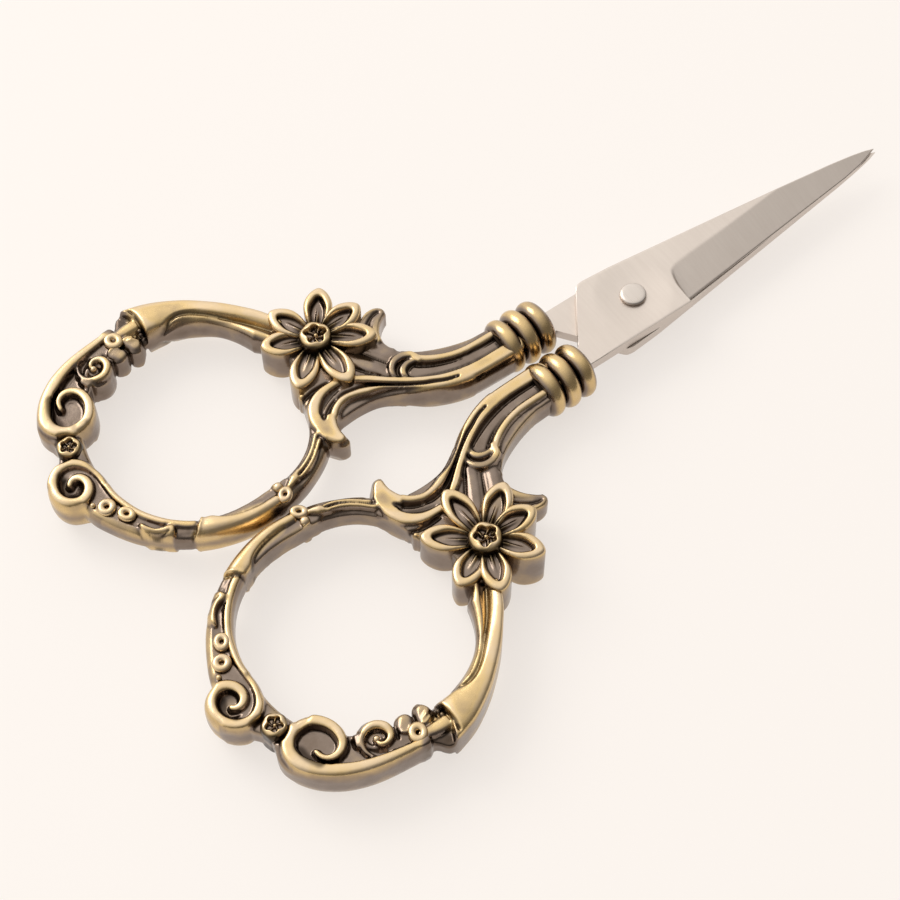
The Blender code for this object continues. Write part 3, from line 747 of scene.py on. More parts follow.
# mouth of that sheath, dark inside, with two stalks that come out of it to a circlet
handle.panel((
    (-53.2, 30.3), (-53.0, 31.2), (-52.9, 33.0), (-53.5, 34.7), (-54.9, 36.8), (-57.4, 35.4), (-56.6, 33.2),
    (-55.8, 31.6), (-54.6, 31.4), (-54.0, 30.4),
), 1.25, slope=8.0)
handle.ridge(((-52.9, 33.1), (-54.6, 33.1), (-56.4, 32.8)), (1.9, 1.9, 1.6), 2.2, foot=1.2)
# the mouth's inside is painted darker: grey-brown bloom and dip, with painted shade in the recess
handle.dull_and_shade(((-56.2, 34.6), (-54.9, 34.8)), 1.8, 0.9)
handle.darken_dip_and_shade(((-55.2, 34.5), (-54.2, 34.7)), 0.9, 0.6)
handle.groove(((-53.0, 34.9), (-52.8, 33.6), (-52.9, 31.9), (-53.1, 30.9)), 0.5, 0.5, 0.95)

# two knobs on the hole side of the stalks
handle.ridge(((-57.6, 30.9), (-57.1, 30.3)), 1.9, 2.1, fullness=3.0)
handle.ridge(((-55.2, 31.3), (-54.8, 30.5)), 1.9, 2.15, fullness=3.0)
handle.ridge(((-56.0, 31.7), (-55.4, 31.9), (-54.6, 31.6)), (0.4, 0.6, 0.5), 2.3, foot=1.6, fullness=2.2)
handle.ridge(((-58.2, 31.2), (-57.6, 31.6), (-56.9, 31.2)), (0.4, 0.6, 0.5), 2.25, foot=1.6, fullness=2.2)
handle.groove(((-56.3, 31.6), (-56.1, 30.4), (-56.0, 29.2)), 0.32, 0.4, 0.85)
handle.groove(((-53.7, 31.8), (-53.6, 31.2), (-53.6, 30.6)), (0.36, 0.36, 0.15), 0.4, 0.9)
handle.groove(((-58.9, 31.6), (-58.6, 30.4), (-58.6, 29.2)), 0.36, 0.4, 0.85)
handle.dull_and_shade(((-58.0, 30.6), (-54.4, 30.4)), 1.6, 0.3)

# large volute: a broad outer band that curls in round a deep flat-bottomed bowl
handle.panel((
    (-60.0, 33.0), (-63.0, 32.6), (-66.0, 31.4), (-68.5, 29.4), (-69.6, 26.8), (-68.6, 24.6), (-66.4, 24.0),
    (-64.5, 25.0), (-63.7, 27.2), (-63.2, 29.6), (-61.5, 31.4),
), 1.2, slope=1.8)
handle.ridge((
    (-56.6, 33.8), (-59.8, 33.3), (-62.8, 32.65), (-65.8, 31.4), (-68.1, 29.6), (-69.45, 27.7),
    (-69.65, 26.0), (-68.8, 24.55), (-67.2, 23.85), (-65.4, 24.2), (-64.15, 25.7), (-63.8, 27.4),
    (-64.4, 28.9), (-65.8, 29.35), (-66.9, 28.7), (-67.15, 27.6),
), (1.3, 1.5, 1.75, 1.95, 2.05, 2.05, 1.9, 1.75, 1.65, 1.55, 1.45, 1.35, 1.2, 1.1, 0.95, 0.8),
    (2.4, 2.5, 2.6, 2.65, 2.65, 2.65, 2.65, 2.6, 2.6, 2.6, 2.6, 2.6, 2.5, 2.45, 2.35, 2.25), foot=1.1,
    fullness=4.0, solid=True)
handle.darken_dip_and_shade(((-67.6, 29.1), (-68.3, 27.6), (-68.4, 26.2)), 0.9, 0.8)

# small scroll with a bulb, and the stub beside it
handle.bowl((-61.0, 30.0), 1.5, 1.4)
handle.ridge((
    (-62.2, 32.0), (-62.8, 30.8), (-62.5, 29.5), (-61.4, 28.7), (-60.1, 28.75), (-59.2, 29.7),
    (-59.3, 30.9), (-60.2, 31.4), (-61.0, 31.0), (-61.0, 30.3),
), (0.5, 0.65, 0.85, 1.1, 1.3, 1.35, 1.15, 0.9, 0.75, 0.6),
    (2.1, 2.2, 2.3, 2.5, 2.55, 2.6, 2.5, 2.45, 2.35, 2.2), foot=1.2, fullness=3.0, solid=True)
handle.ridge(((-62.3, 28.3), (-62.9, 29.6)), 1.0, 2.15, foot=1.2)
handle.dull_and_shade(((-62.4, 31.6), (-62.9, 30.2), (-62.3, 28.9)), 0.8, 0.5)

# second volute
handle.bowl((-71.8, 17.3), 2.6, 1.1, 1.4)
handle.ridge((
    (-67.95, 12.7), (-68.2, 14.4), (-68.1, 16.2), (-68.3, 17.8), (-68.95, 19.2), (-70.2, 20.25),
    (-71.9, 20.25), (-73.3, 19.1), (-73.85, 17.4), (-73.4, 15.75), (-71.9, 14.8), (-70.4, 15.35),
    (-69.75, 16.75), (-70.2, 17.9), (-71.1, 18.2), (-71.75, 17.7),
), (0.9, 0.95, 1.0, 1.05, 1.15, 1.35, 1.45, 1.5, 1.55, 1.6, 1.55, 1.45, 1.3, 1.2, 1.05, 0.9),
    (2.3, 2.35, 2.4, 2.45, 2.5, 2.6, 2.65, 2.65, 2.65, 2.65, 2.65, 2.6, 2.55, 2.5, 2.4, 2.25), foot=1.1,
    fullness=4.0, solid=True)
handle.darken_dip_and_shade(((-72.0, 19.2), (-72.6, 17.6), (-72.1, 16.2)), 0.7, 0.75)

# rosette's seat and the pockets beside it
handle.panel((
    (-70.0, 24.2), (-71.3, 22.6), (-71.7, 21.2), (-69.4, 20.8), (-68.2, 21.2), (-67.8, 22.6), (-68.4, 23.6),
), 1.5, slope=2.0)

# floor where the circlets sit, the rod on its outer side, and the thin ridge along the hole
handle.panel((
    (-70.9, 13.6), (-70.9, 11.9), (-69.5, 9.2), (-67.5, 6.7), (-65.4, 4.8), (-63.4, 3.2), (-61.9, 4.6),
    (-64.2, 6.2), (-66.1, 8.2), (-67.6, 10.9), (-68.4, 14.4), (-69.4, 14.0),
), 1.75)
handle.ridge((
    (-71.3, 12.9), (-70.3, 10.5), (-68.8, 8.0), (-66.9, 5.8), (-64.6, 4.0), (-61.6, 2.6),
), (1.5, 2.0, 2.2, 2.1, 2.0, 1.8), 1.95, foot=1.0, fullness=2.4)
handle.ridge((
    (-68.1, 15.8), (-68.2, 14.4), (-67.9, 12.5), (-67.2, 10.1), (-66.1, 8.1), (-64.7, 6.3), (-63.3, 5.0),
    (-61.8, 4.0),
), (0.9, 1.0, 1.1, 1.1, 1.15, 1.15, 1.15, 1.1), (2.38, 2.36, 2.33, 2.3, 2.3, 2.3, 2.3, 2.3), foot=1.5,
    fullness=2.8)

# leaf with two points, folded along its back
handle.plateau((
    (-67.75, 8.4), (-67.2, 7.3), (-66.7, 6.6), (-66.1, 6.2), (-65.3, 6.1), (-64.65, 5.7), (-64.8, 5.1),
    (-65.5, 4.3), (-66.5, 4.65), (-67.2, 5.3), (-67.9, 6.3), (-68.05, 7.3),
), 2.6, slope=4.0)
handle.groove(((-67.6, 6.5), (-67.2, 5.8), (-66.5, 5.4), (-65.4, 5.3)), (0.12, 0.3, 0.34, 0.12), 0.28, 0.85)
handle.groove(((-67.3, 8.1), (-66.9, 7.3), (-66.4, 6.75), (-65.7, 6.5), (-65.0, 6.3)), 0.18, 0.15, 0.75)
handle.groove(((-68.3, 8.0), (-68.4, 7.0), (-68.1, 6.1)), (0.1, 0.2, 0.1), 0.1, 0.6)

# lower sheath: a full sleeve with a torn lip, a long tongue and the sunk panel beside it
handle.ridge((
    (-62.4, 3.0), (-60.8, 2.9), (-59.2, 2.25), (-57.5, 1.75), (-55.5, 1.4), (-53.0, 1.4),
), (4.4, 4.3, 3.1, 2.5, 2.1, 1.9), (2.6, 2.65, 2.6, 2.5, 2.45, 2.35), foot=1.0, fullness=2.4)
handle.panel((
    (-61.2, 5.4), (-61.7, 4.4), (-62.5, 4.1), (-62.9, 3.3), (-63.7, 3.0), (-63.4, 2.0), (-63.9, 0.4),
    (-65.6, 0.8), (-65.4, 3.6), (-64.2, 4.8), (-62.6, 5.8),
), 1.8, slope=5.0)
handle.ridge(((-66.6, 5.2), (-65.0, 4.0), (-63.6, 2.9)), (1.9, 1.9, 1.8), 2.0, foot=1.0, fullness=2.4)
handle.ridge(((-64.7, 6.3), (-63.3, 5.0), (-61.8, 4.0)), (1.15, 1.15, 1.1), 2.3, foot=1.6, fullness=2.8)
handle.panel((
    (-60.6, 5.6), (-60.1, 4.2), (-59.2, 3.3), (-57.8, 2.65), (-56.0, 2.3), (-53.3, 2.2), (-53.0, 4.2),
    (-55.0, 4.0), (-58.0, 4.4), (-59.8, 5.3),
), 1.75, slope=3.0)
handle.ridge((
    (-60.4, 5.2), (-58.6, 4.5), (-56.0, 3.9), (-53.0, 3.7),
), (0.6, 0.7, 0.8, 0.8), (2.0, 2.05, 2.05, 2.05), foot=1.6, fullness=2.2)
handle.groove((
    (-60.7, 5.3), (-60.2, 4.2), (-59.2, 3.3), (-57.8, 2.65), (-56.0, 2.25), (-54.2, 2.15),
), (0.2, 0.3, 0.34, 0.34, 0.28, 0.15), 0.25, 0.9)
handle.ridge((
    (-61.2, 5.2), (-61.6, 4.4), (-62.1, 3.8), (-62.7, 3.2), (-63.3, 2.85), (-63.7, 2.2), (-64.0, 1.2),
), (0.3, 0.42, 0.45, 0.45, 0.5, 0.4, 0.3), (2.6, 2.75, 2.8, 2.75, 2.7, 2.5, 2.2), foot=1.4, fullness=2.2)
handle.groove((
    (-61.6, 5.3), (-62.0, 4.7), (-62.5, 4.1), (-63.1, 3.5), (-63.8, 3.15), (-64.2, 2.4),
), (0.22, 0.28, 0.3, 0.3, 0.26, 0.16), 0.25, 0.95)

# knot, then two thin ridges between a sunk panel and a rod, up to the hooked leaf
handle.ridge(((-52.4, 3.7), (-51.9, 3.1), (-51.6, 2.5)), (0.9, 1.1, 0.7), (2.3, 2.4, 2.2), fullness=2.2)
handle.panel((
    (-50.9, 4.9), (-50.3, 3.2), (-47.2, 4.2), (-44.5, 5.9), (-44.4, 9.2), (-46.4, 7.3), (-48.6, 5.9),
), 1.4, slope=4.0)
handle.ridge((
    (-50.4, 1.4), (-48.6, 1.7), (-46.6, 2.65), (-44.6, 4.0),
), (1.3, 1.3, 1.4, 1.4), 1.95, foot=1.1)
handle.ridge(((-50.8, 2.1), (-49.7, 2.6), (-48.8, 3.3)), (0.9, 1.5, 0.7), (2.4, 2.55, 2.3))
handle.ridge((
    (-48.9, 3.1), (-47.4, 3.65), (-45.8, 4.65), (-44.2, 6.2),
), (0.6, 0.7, 0.75, 0.8), (2.3, 2.4, 2.4, 2.4))
handle.ridge((
    (-49.1, 2.4), (-47.6, 2.85), (-45.9, 3.85), (-44.3, 5.3),
), (0.6, 0.7, 0.75, 0.8), (2.25, 2.4, 2.4, 2.4))
handle.groove(((-49.0, 2.75), (-47.5, 3.25), (-45.85, 4.25), (-44.3, 5.75)), 0.2, 0.3, 0.9)
handle.groove(((-49.9, 1.9), (-47.8, 2.3), (-46.1, 3.25), (-44.5, 4.7)), 0.24, 0.2, 0.8)

# shank: the panel between its main band and its outer band, then the two bands
handle.panel((
    (-15.8, 3.4), (-19.3, 3.4), (-21.3, 3.42), (-23.3, 3.64), (-25.3, 4.1), (-27.3, 4.8), (-29.3, 5.7),
    (-30.0, 6.9), (-29.2, 7.6), (-28.3, 7.05), (-26.3, 5.98), (-24.3, 5.24), (-22.3, 4.87), (-20.3, 4.72),
    (-15.8, 4.67),
), 1.95, slope=2.0)
handle.ridge((
    (-15.8, 2.35), (-19.3, 2.3), (-22.3, 2.35), (-24.3, 2.6), (-26.3, 3.35), (-27.6, 3.95), (-29.3, 4.95),
    (-31.3, 6.3), (-32.8, 7.5), (-34.3, 8.9), (-36.0, 10.2),
), (2.15, 2.15, 2.1, 2.1, 1.55, 1.3, 1.15, 1.15, 1.15, 1.1, 1.0), 2.42, foot=1.6, fullness=4.0)
handle.ridge((
    (-24.0, 2.0), (-26.3, 2.5), (-28.3, 3.3), (-30.3, 4.4), (-32.3, 5.7), (-34.3, 7.05), (-36.3, 8.05),
    (-38.3, 8.45), (-39.6, 8.1), (-40.6, 7.4), (-41.6, 6.2), (-42.3, 5.0),
), (1.6, 1.4, 1.2, 1.15, 1.15, 1.2, 1.2, 1.15, 1.15, 1.2, 1.4, 1.8), 2.38, foot=1.2, fullness=3.6)
handle.ridge((
    (-15.8, 5.35), (-20.3, 5.35), (-22.3, 5.45), (-24.3, 5.9), (-26.0, 6.65), (-27.3, 7.5), (-28.2, 8.5),
), (1.35, 1.35, 1.35, 1.3, 1.3, 1.25, 1.1), 2.4)
handle.step((
    (-15.8, 6.5), (-19.9, 6.75), (-21.9, 7.1), (-23.9, 7.7), (-25.9, 8.55), (-27.4, 9.4), (-28.6, 10.5),
), 0.6, 1.55)
handle.ridge((
    (-15.8, 6.15), (-19.9, 6.4), (-21.9, 6.75), (-23.9, 7.35), (-25.9, 8.2), (-27.4, 9.05), (-28.5, 10.1),
), 0.55, 1.8, foot=1.5, fullness=2.2)
handle.groove((
    (-25.3, 2.75), (-26.3, 3.0), (-27.3, 3.4), (-28.3, 3.95), (-29.3, 4.4), (-30.3, 5.0), (-31.3, 5.65),
    (-32.3, 6.4), (-33.3, 7.15), (-34.3, 7.9), (-35.3, 8.55), (-36.5, 9.0), (-37.8, 9.25), (-39.0, 9.2),
), (0.2, 0.28, 0.34, 0.38, 0.42, 0.44, 0.46, 0.5, 0.55, 0.6, 0.5, 0.4, 0.3, 0.2), 0.55, 0.95)
handle.groove((
    (-15.8, 3.45), (-19.3, 3.42), (-21.3, 3.45), (-23.3, 3.67), (-25.3, 4.15), (-27.3, 4.85), (-29.3, 5.75),
    (-30.3, 6.4), (-31.3, 7.15), (-32.3, 7.9), (-33.3, 8.8),
), (0.25, 0.3, 0.3, 0.32, 0.34, 0.34, 0.34, 0.34, 0.34, 0.36, 0.4), 0.3, 0.95)
handle.groove((
    (-15.8, 4.7), (-20.3, 4.74), (-22.3, 4.89), (-24.3, 5.24), (-26.3, 5.98), (-27.5, 6.6), (-28.5, 7.35),
), (0.2, 0.2, 0.2, 0.3, 0.4, 0.45, 0.4), 0.3, 0.9)

# the ledge under the inner side of the second band, beside the hooked leaf
handle.step((
    (-28.6, 2.6), (-30.0, 3.4), (-32.0, 4.85), (-34.0, 6.0), (-35.4, 6.4),
), 0.55, (2.4, 2.2, 1.7, 1.35, 1.3))
handle.panel((
    (-34.2, 6.35), (-35.4, 6.95), (-36.5, 7.4), (-37.6, 7.75), (-38.6, 7.8), (-39.5, 7.45), (-40.2, 6.9),
    (-40.8, 6.1), (-41.2, 5.3), (-41.4, 4.6), (-38.0, 5.2), (-34.2, 5.2),
), 1.3)
handle.dull_and_shade(((-36.0, 7.0), (-38.5, 7.2), (-40.4, 6.4)), 0.7, 0.15)

# where the shank ends in a curl of two crescents
handle.ridge((
    (-27.9, 7.7), (-28.2, 8.75), (-29.3, 9.35), (-30.5, 9.25), (-31.3, 8.6), (-31.65, 7.8), (-31.5, 7.2),
), (1.1, 1.25, 1.2, 1.15, 1.05, 0.9, 0.6), (2.45, 2.5, 2.5, 2.5, 2.45, 2.3, 2.1), foot=1.4, fullness=3.4)
handle.ridge((
    (-28.3, 7.95), (-29.3, 8.1), (-30.25, 7.7), (-30.6, 7.0), (-30.3, 6.3),
), (0.8, 1.05, 1.15, 1.1, 0.8), (2.25, 2.35, 2.35, 2.3, 2.1), foot=1.7, fullness=3.0)
handle.groove((
    (-28.5, 8.45), (-29.4, 8.75), (-30.4, 8.4), (-31.0, 7.7), (-31.1, 6.9),
), (0.2, 0.26, 0.28, 0.26, 0.15), 0.3, 1.0)
handle.groove((
    (-28.4, 7.5), (-29.2, 7.55), (-29.9, 7.2), (-30.1, 6.6), (-29.8, 6.0),
), (0.3, 0.3, 0.28, 0.22, 0.15), 0.35, 0.9)

# hooked leaf: a flat full lobe that turns over at its tip, and the lens inside it
handle.plateau((
    (-40.6, 7.0), (-41.2, 5.6), (-41.4, 4.6), (-41.5, 3.7), (-42.2, 3.4), (-43.3, 4.2), (-43.8, 5.4),
    (-43.9, 6.6), (-43.5, 8.0), (-42.4, 8.4),
), 2.4)
handle.ridge((
    (-42.8, 6.2), (-43.0, 8.0), (-42.4, 9.35), (-41.3, 10.3), (-40.1, 10.8), (-38.6, 10.95), (-36.6, 11.0),
), (2.3, 1.85, 1.75, 1.6, 1.35, 1.2, 1.1), 2.4, foot=1.4, fullness=4.0)
handle.panel((
    (-42.2, 7.4), (-41.8, 8.4), (-41.0, 9.15), (-39.9, 9.75), (-38.3, 10.15), (-36.6, 10.3), (-36.6, 9.4),
    (-38.6, 9.35), (-40.2, 8.9), (-41.4, 8.1),
), 1.9, slope=3.0)
handle.groove((
    (-42.25, 7.2), (-42.15, 7.9), (-41.6, 8.7), (-40.6, 9.35), (-39.4, 9.85), (-38.2, 10.15),
), (0.2, 0.3, 0.32, 0.3, 0.26, 0.2), 0.3, 0.95)
handle.groove((
    (-42.1, 7.3), (-41.3, 8.1), (-40.3, 8.75), (-39.3, 9.15),
), (0.2, 0.38, 0.38, 0.2), 0.45, 0.95)
handle.ridge(((-42.4, 11.95),), 0.9, 2.0, foot=1.2, fullness=2.2, solid=True)
handle.groove((
    (-43.2, 10.9), (-42.0, 11.55), (-40.6, 11.75), (-38.8, 11.7),
), (0.3, 0.4, 0.45, 0.4), 0.6, 0.95)

# neck of the flower: two plain stalks with dark lines between and beside them
handle.ridge(((-31.9, 8.6), (-33.2, 11.0), (-34.6, 13.4)), 1.5, 1.95, foot=1.5, fullness=3.0)
handle.ridge(((-29.9, 10.0), (-30.7, 11.8), (-31.8, 13.6)), 1.7, 1.95, foot=1.4, fullness=2.4)
handle.groove(((-32.9, 8.7), (-34.3, 10.7), (-35.4, 12.6)), (0.25, 0.36, 0.4), 0.4, 0.9)
handle.groove(((-31.1, 9.7), (-32.2, 11.7), (-33.2, 13.6)), (0.25, 0.34, 0.36), 0.4, 0.95)
handle.dull_and_shade(((-30.6, 9.8), (-32.4, 12.2), (-34.0, 14.4)), 3.0, 0.55)
handle.dull_and_shade(((-35.0, 10.6), (-35.6, 12.6)), 1.3, 0.45)

# the outer leaf: it droops to its tip, with a rim round its far side and a deep fold beside it
droop = 2.25 - 0.75 * eased(handle.x, -31.0, -27.0)
on_leaf = (handle.x > -31.5) & (handle.y > 12.2) & (handle.y < 19.0)
handle.height = np.where(on_leaf, np.minimum(handle.height, droop), handle.height)
handle.ridge((
    (-31.0, 16.6), (-29.6, 17.35), (-28.2, 17.45), (-27.35, 17.15), (-27.1, 16.75), (-27.5, 16.25),
), (0.7, 0.85, 0.85, 0.75, 0.7, 0.5), (2.2, 2.05, 1.85, 1.7, 1.65, 1.65), foot=1.2)
handle.ridge((
    (-27.4, 16.4), (-28.6, 15.6), (-29.6, 14.5), (-30.2, 13.2),
), (0.6, 1.2, 1.5, 1.4), (1.6, 1.85, 2.05, 2.15), foot=1.2)
handle.groove((
    (-27.5, 16.85), (-28.6, 16.7), (-29.8, 16.0), (-31.0, 14.8),
), (0.15, 0.36, 0.55, 0.6), 0.35, 0.7)
handle.dull_and_shade(((-28.0, 16.2), (-29.8, 14.4)), 1.2, 0.15)

# the painted shadow of the flower, and the places painted brightest down their sides, by wear and by painted
# light where a rounded side catches the light
FLOWER = (-36.45, 17.6)
handle.dull_and_shade((FLOWER,), 8.0, 0.35)
handle.darken_dip_and_shade((FLOWER,), 5.4, 0.9)
handle.polish_and_light(((-38.6, 23.0), (-41.7, 27.1), (-46.3, 30.9), (-51.6, 32.9), (-53.7, 33.2)), 2.9, 0.72)
handle.polish_and_light(((-62.4, 2.4), (-59.2, 1.6), (-55.5, 0.9)), 2.6, 0.85)
handle.polish_and_light(((-71.0, 11.2), (-69.2, 8.0), (-67.0, 5.0)), 1.0, 0.6)
handle.dull_and_shade(((-65.3, 3.9), (-64.2, 3.0)), 0.9, 0.5)
handle.polish_and_light(((-67.9, 7.4), (-67.6, 6.1), (-66.7, 5.0), (-65.6, 4.7)), 0.5, 0.75)
handle.polish_and_light(((-74.3, 18.0), (-74.2, 15.6), (-72.4, 13.9)), 1.4, 0.7)

# Antiqued brass finish of the castings
# The castings are brass plated, dipped dark, and rubbed: bright satin ridges, a grey-brown
# bloom on the flats and walls, and black left in the creases. Painted shade darkens steep
# flanks and the ground round the flower, and painted light brightens some rounded sides.
BRASS_TONES = (                 # how rubbed and lit, colour
    (0.0, (0.158, 0.116, 0.086)), (0.28, (0.25, 0.196, 0.160)), (0.52, (0.42, 0.312, 0.190)),
    (0.78, (0.70, 0.510, 0.250)), (1.0, (0.705, 0.547, 0.355)),
)
# black of the dip in the creases, also used for painted shade
DIP_AND_SHADE_BLACK = (0.020, 0.013, 0.009)
MOTTLE_SCALE = 300.0
FLECK_SCALE = 1500.0
FLECK_DEPTH = 0.00005
HALVES = (("left", left_place, "left_half"), ("right", right_place, "right_half"))


def antique_tones():
    """Colour, roughness and grain from how rubbed and lit and how sunk and shaded a place is."""
    tree, given, result = new_group(
        "Shader", "antique_tones", {"Rubbed": "Float", "Sunk": "Float", "Fleck Scale": "Float"},
        {"Colour": "Color", "Roughness": "Float", "Height": "Float"},
    )
    place = add_node(tree, "ShaderNodeTexCoord").outputs["Object"]
    mottle = add_node(
        tree, "ShaderNodeTexNoise", Vector=place, Scale=MOTTLE_SCALE, Detail=3.0, Roughness=0.5,
    )
    fleck = add_node(
        tree, "ShaderNodeTexNoise", Vector=place, Scale=given["Fleck Scale"], Detail=5.0, Roughness=0.7,
    )
    drift = add_node(tree, "ShaderNodeMath", {"operation": "MULTIPLY_ADD"}, _0=mottle, _1=0.7, _2=-0.35)
    worn_and_lit = add_node(
        tree, "ShaderNodeMath", {"operation": "ADD", "use_clamp": True}, _0=given["Rubbed"], _1=drift,
    )
    ramp = add_node(tree, "ShaderNodeValToRGB", Fac=worn_and_lit)
    while len(ramp.color_ramp.elements) < len(BRASS_TONES):
        ramp.color_ramp.elements.new(0.5)
    for element, (position, colour) in zip(ramp.color_ramp.elements, BRASS_TONES):
        element.position = position
        element.color = (*colour, 1)
    rough = add_node(
        tree, "ShaderNodeMapRange", Value=worn_and_lit, From_Min=0.0, From_Max=1.0, To_Min=0.11, To_Max=0.25,
    )
    varied = add_node(tree, "ShaderNodeMath", {"operation": "MULTIPLY_ADD"}, _0=fleck, _1=0.12, _2=rough)
    waves = add_node(tree, "ShaderNodeMath", {"operation": "MULTIPLY_ADD"}, _0=mottle, _1=3.0, _2=fleck)
    feed(result, Colour=between(tree, given["Sunk"], ramp, DIP_AND_SHADE_BLACK), Roughness=varied, Height=waves)
    return tree


def antique_brass(name, bump):
    """Antiqued brass plating that follows a piece's own rubbed and sunk places, with its painted light and
    shade.
    """
    material, tree, shader = new_metal(name)
    rubbed, sunk = (
        add_node(tree, "ShaderNodeAttribute", {"attribute_name": label}).outputs["Fac"]
        for label in ("rubbed", "sunk")
    )
    tones = add_node(
        tree, "ShaderNodeGroup", {"node_tree": antique_tones()}, Rubbed=rubbed, Sunk=sunk,
        Fleck_Scale=FLECK_SCALE,
    ).outputs
    relief = add_node(tree, "ShaderNodeBump", Height=tones["Height"], Strength=bump, Distance=FLECK_DEPTH)
    feed(shader, Base_Color=tones["Colour"], Roughness=tones["Roughness"], Normal=relief)
    return material


cast_brass = antique_brass("antiqued_brass", 0.3)


def cast_on_both(part, mesh, node=None):
    """Put a part of the castings on each half, and let it replace a CAD node of that side."""
    for side, place, body in HALVES:
        replaced = f"{side}_{node}" if node else None
        piece_on(f"{side}_{part}", mesh, place, body, cast_brass, replaced)


cast_on_both("casting", handle.cast("casting", layer=0.3, top=3.3), "handle")

# Collar rings
# Three thick rings round the end of each shank, part of the same casting. Their grooves
# keep the dark dip, and their backs are rubbed bright.
COLLAR_Y = 4.05
COLLAR_RINGS = ((-17.2, 3.6), (-14.8, 3.7), (-12.4, 3.6))       # x, outer radius
RING_OUTER = 3.6                # as grown, before it is swelled to its own radius
RING_RADIUS = 1.18
RING_PITCH = 2.4
COLLAR_CORE = 2.55


def finish_tree(tree, given, result, instances):
    """End a tree: real geometry, then its material."""
    real = add_node(tree, "GeometryNodeRealizeInstances", Geometry=instances)
    painted = add_node(tree, "GeometryNodeSetMaterial", Geometry=real, Material=given["Material"])
    feed(result, Geometry=painted)


def grown(tree, base, values):
    """Run a tree on a base mesh with these inputs, and take the result as a plain mesh."""
    obj = in_scene(tree.name, base)
    modifier = obj.modifiers.new(tree.name, "NODES")
    modifier.node_group = tree
    sockets = {item.name: item.identifier for item in tree.interface.items_tree if item.in_out == "INPUT"}
    for label, value in values.items():
        modifier[sockets[label]] = value
    ready = obj.evaluated_get(bpy.context.evaluated_depsgraph_get())
    mesh = bpy.data.meshes.new_from_object(ready)
    obj.modifiers.remove(modifier)
    bpy.data.objects.remove(obj)
    mesh.shade_smooth()
    return mesh


def places(points, **vectors):
    """A mesh of loose points that carries named vectors for a tree to read."""
    mesh = bpy.data.meshes.new("places")
    mesh.from_pydata(points, [], [])
    for name, values in vectors.items():
        attribute = mesh.attributes.new(name, "FLOAT_VECTOR", "POINT")
        attribute.data.foreach_set("vector", np.array(values, np.float32).ravel())
    return mesh


def named(tree, name):
    """A named vector as a tree reads it from the points."""
    return add_node(tree, "GeometryNodeInputNamedAttribute", {"data_type": "FLOAT_VECTOR"}, Name=name)


def points_of(mesh):
    """The points of a mesh as an array."""
    flat = np.empty(3 * len(mesh.vertices), np.float32)
    mesh.vertices.foreach_get("co", flat)
    return flat.reshape(-1, 3).astype(float)


def collar_tree():
    """Rings with a solid core between them, one for each point."""
    tree, given, result = new_group("Geometry", "collar_rings", {
        "Geometry": "Geometry", "Round": "Float", "Ring Radius": "Float", "Core": "Float",
        "Pitch": "Float", "Material": "Material",
    }, {"Geometry": "Geometry"})
    round_line = add_node(tree, "GeometryNodeCurvePrimitiveCircle", Resolution=72, Radius=given["Round"])
    section = add_node(tree, "GeometryNodeCurvePrimitiveCircle", Resolution=22, Radius=given["Ring Radius"])
    tube = add_node(tree, "GeometryNodeCurveToMesh", Curve=round_line, Profile_Curve=section)
    length = add_node(tree, "ShaderNodeMath", {"operation": "MULTIPLY"}, _0=given["Pitch"], _1=1.04)
    core = add_node(
        tree, "GeometryNodeMeshCylinder", Vertices=48, Side_Segments=1, Radius=given["Core"], Depth=length,
    )
    both = add_node(tree, "GeometryNodeJoinGeometry", Geometry=tube)
    feed(both, Geometry=core)
    lying = add_node(tree, "GeometryNodeTransform", Geometry=both, Rotation=(0, pi / 2, 0))
    rings = add_node(
        tree, "GeometryNodeInstanceOnPoints", Points=given["Geometry"], Instance=lying,
        Scale=named(tree, "swell"),
    )
    finish_tree(tree, given, result, rings)
    return tree


collar = grown(collar_tree(), places(
    [(x, COLLAR_Y, 0) for x, _ in COLLAR_RINGS],
    swell=[(1, outer / RING_OUTER, outer / RING_OUTER) for _, outer in COLLAR_RINGS],
), {
    "Round": RING_OUTER - RING_RADIUS, "Ring Radius": RING_RADIUS, "Core": COLLAR_CORE,
    "Pitch": RING_PITCH, "Material": cast_brass,
})
spots = points_of(collar)
from_axis = np.hypot(spots[:, 1] - COLLAR_Y, spots[:, 2])
store(collar, "rubbed", 0.10 + 0.66 * eased(from_axis, 3.0, 3.65))
store(collar, "sunk", 1 - eased(from_axis, 2.62, 3.0))
cast_on_both("collar", collar)

# Flower
# Seven hollow pointed petals and a curled heart, cast with the handle. The petals differ in
# length, and those that point to the collar stand a little higher.
PETALS = (                      # direction in degrees, length
    (4, 7.1), (52, 7.3), (111, 7.2), (154, 7.0), (219, 7.8), (269, 8.2), (324, 7.8),
)
PETAL_LENGTH = 7.5              # of the pattern
PETAL_TOP = 3.3                 # of the pattern
PETAL_HEIGHT = 3.25
PETAL_LIFT = 0.07               # more height for each millimetre of length towards the collar
EDGE_OF_HOLLOW = ((0.9, 0.36), (2.1, 0.58), (3.5, 0.82), (4.5, 0.72), (5.4, 0.36), (5.9, 0.0))


def spread_tree():
    """A pattern set on each point, turned and swelled as the point says."""
    tree, given, result = new_group(
        "Geometry", "spread_pattern", {"Geometry": "Geometry", "Pattern": "Object", "Material": "Material"},
        {"Geometry": "Geometry"},
    )
    pattern = add_node(tree, "GeometryNodeObjectInfo", Object=given["Pattern"])
    spread_out = add_node(
        tree, "GeometryNodeInstanceOnPoints", Points=given["Geometry"], Instance=pattern.outputs["Geometry"],
        Rotation=named(tree, "turn"), Scale=named(tree, "swell"),
    )
    finish_tree(tree, given, result, spread_out)
    return tree


SPREAD_TREE = spread_tree()


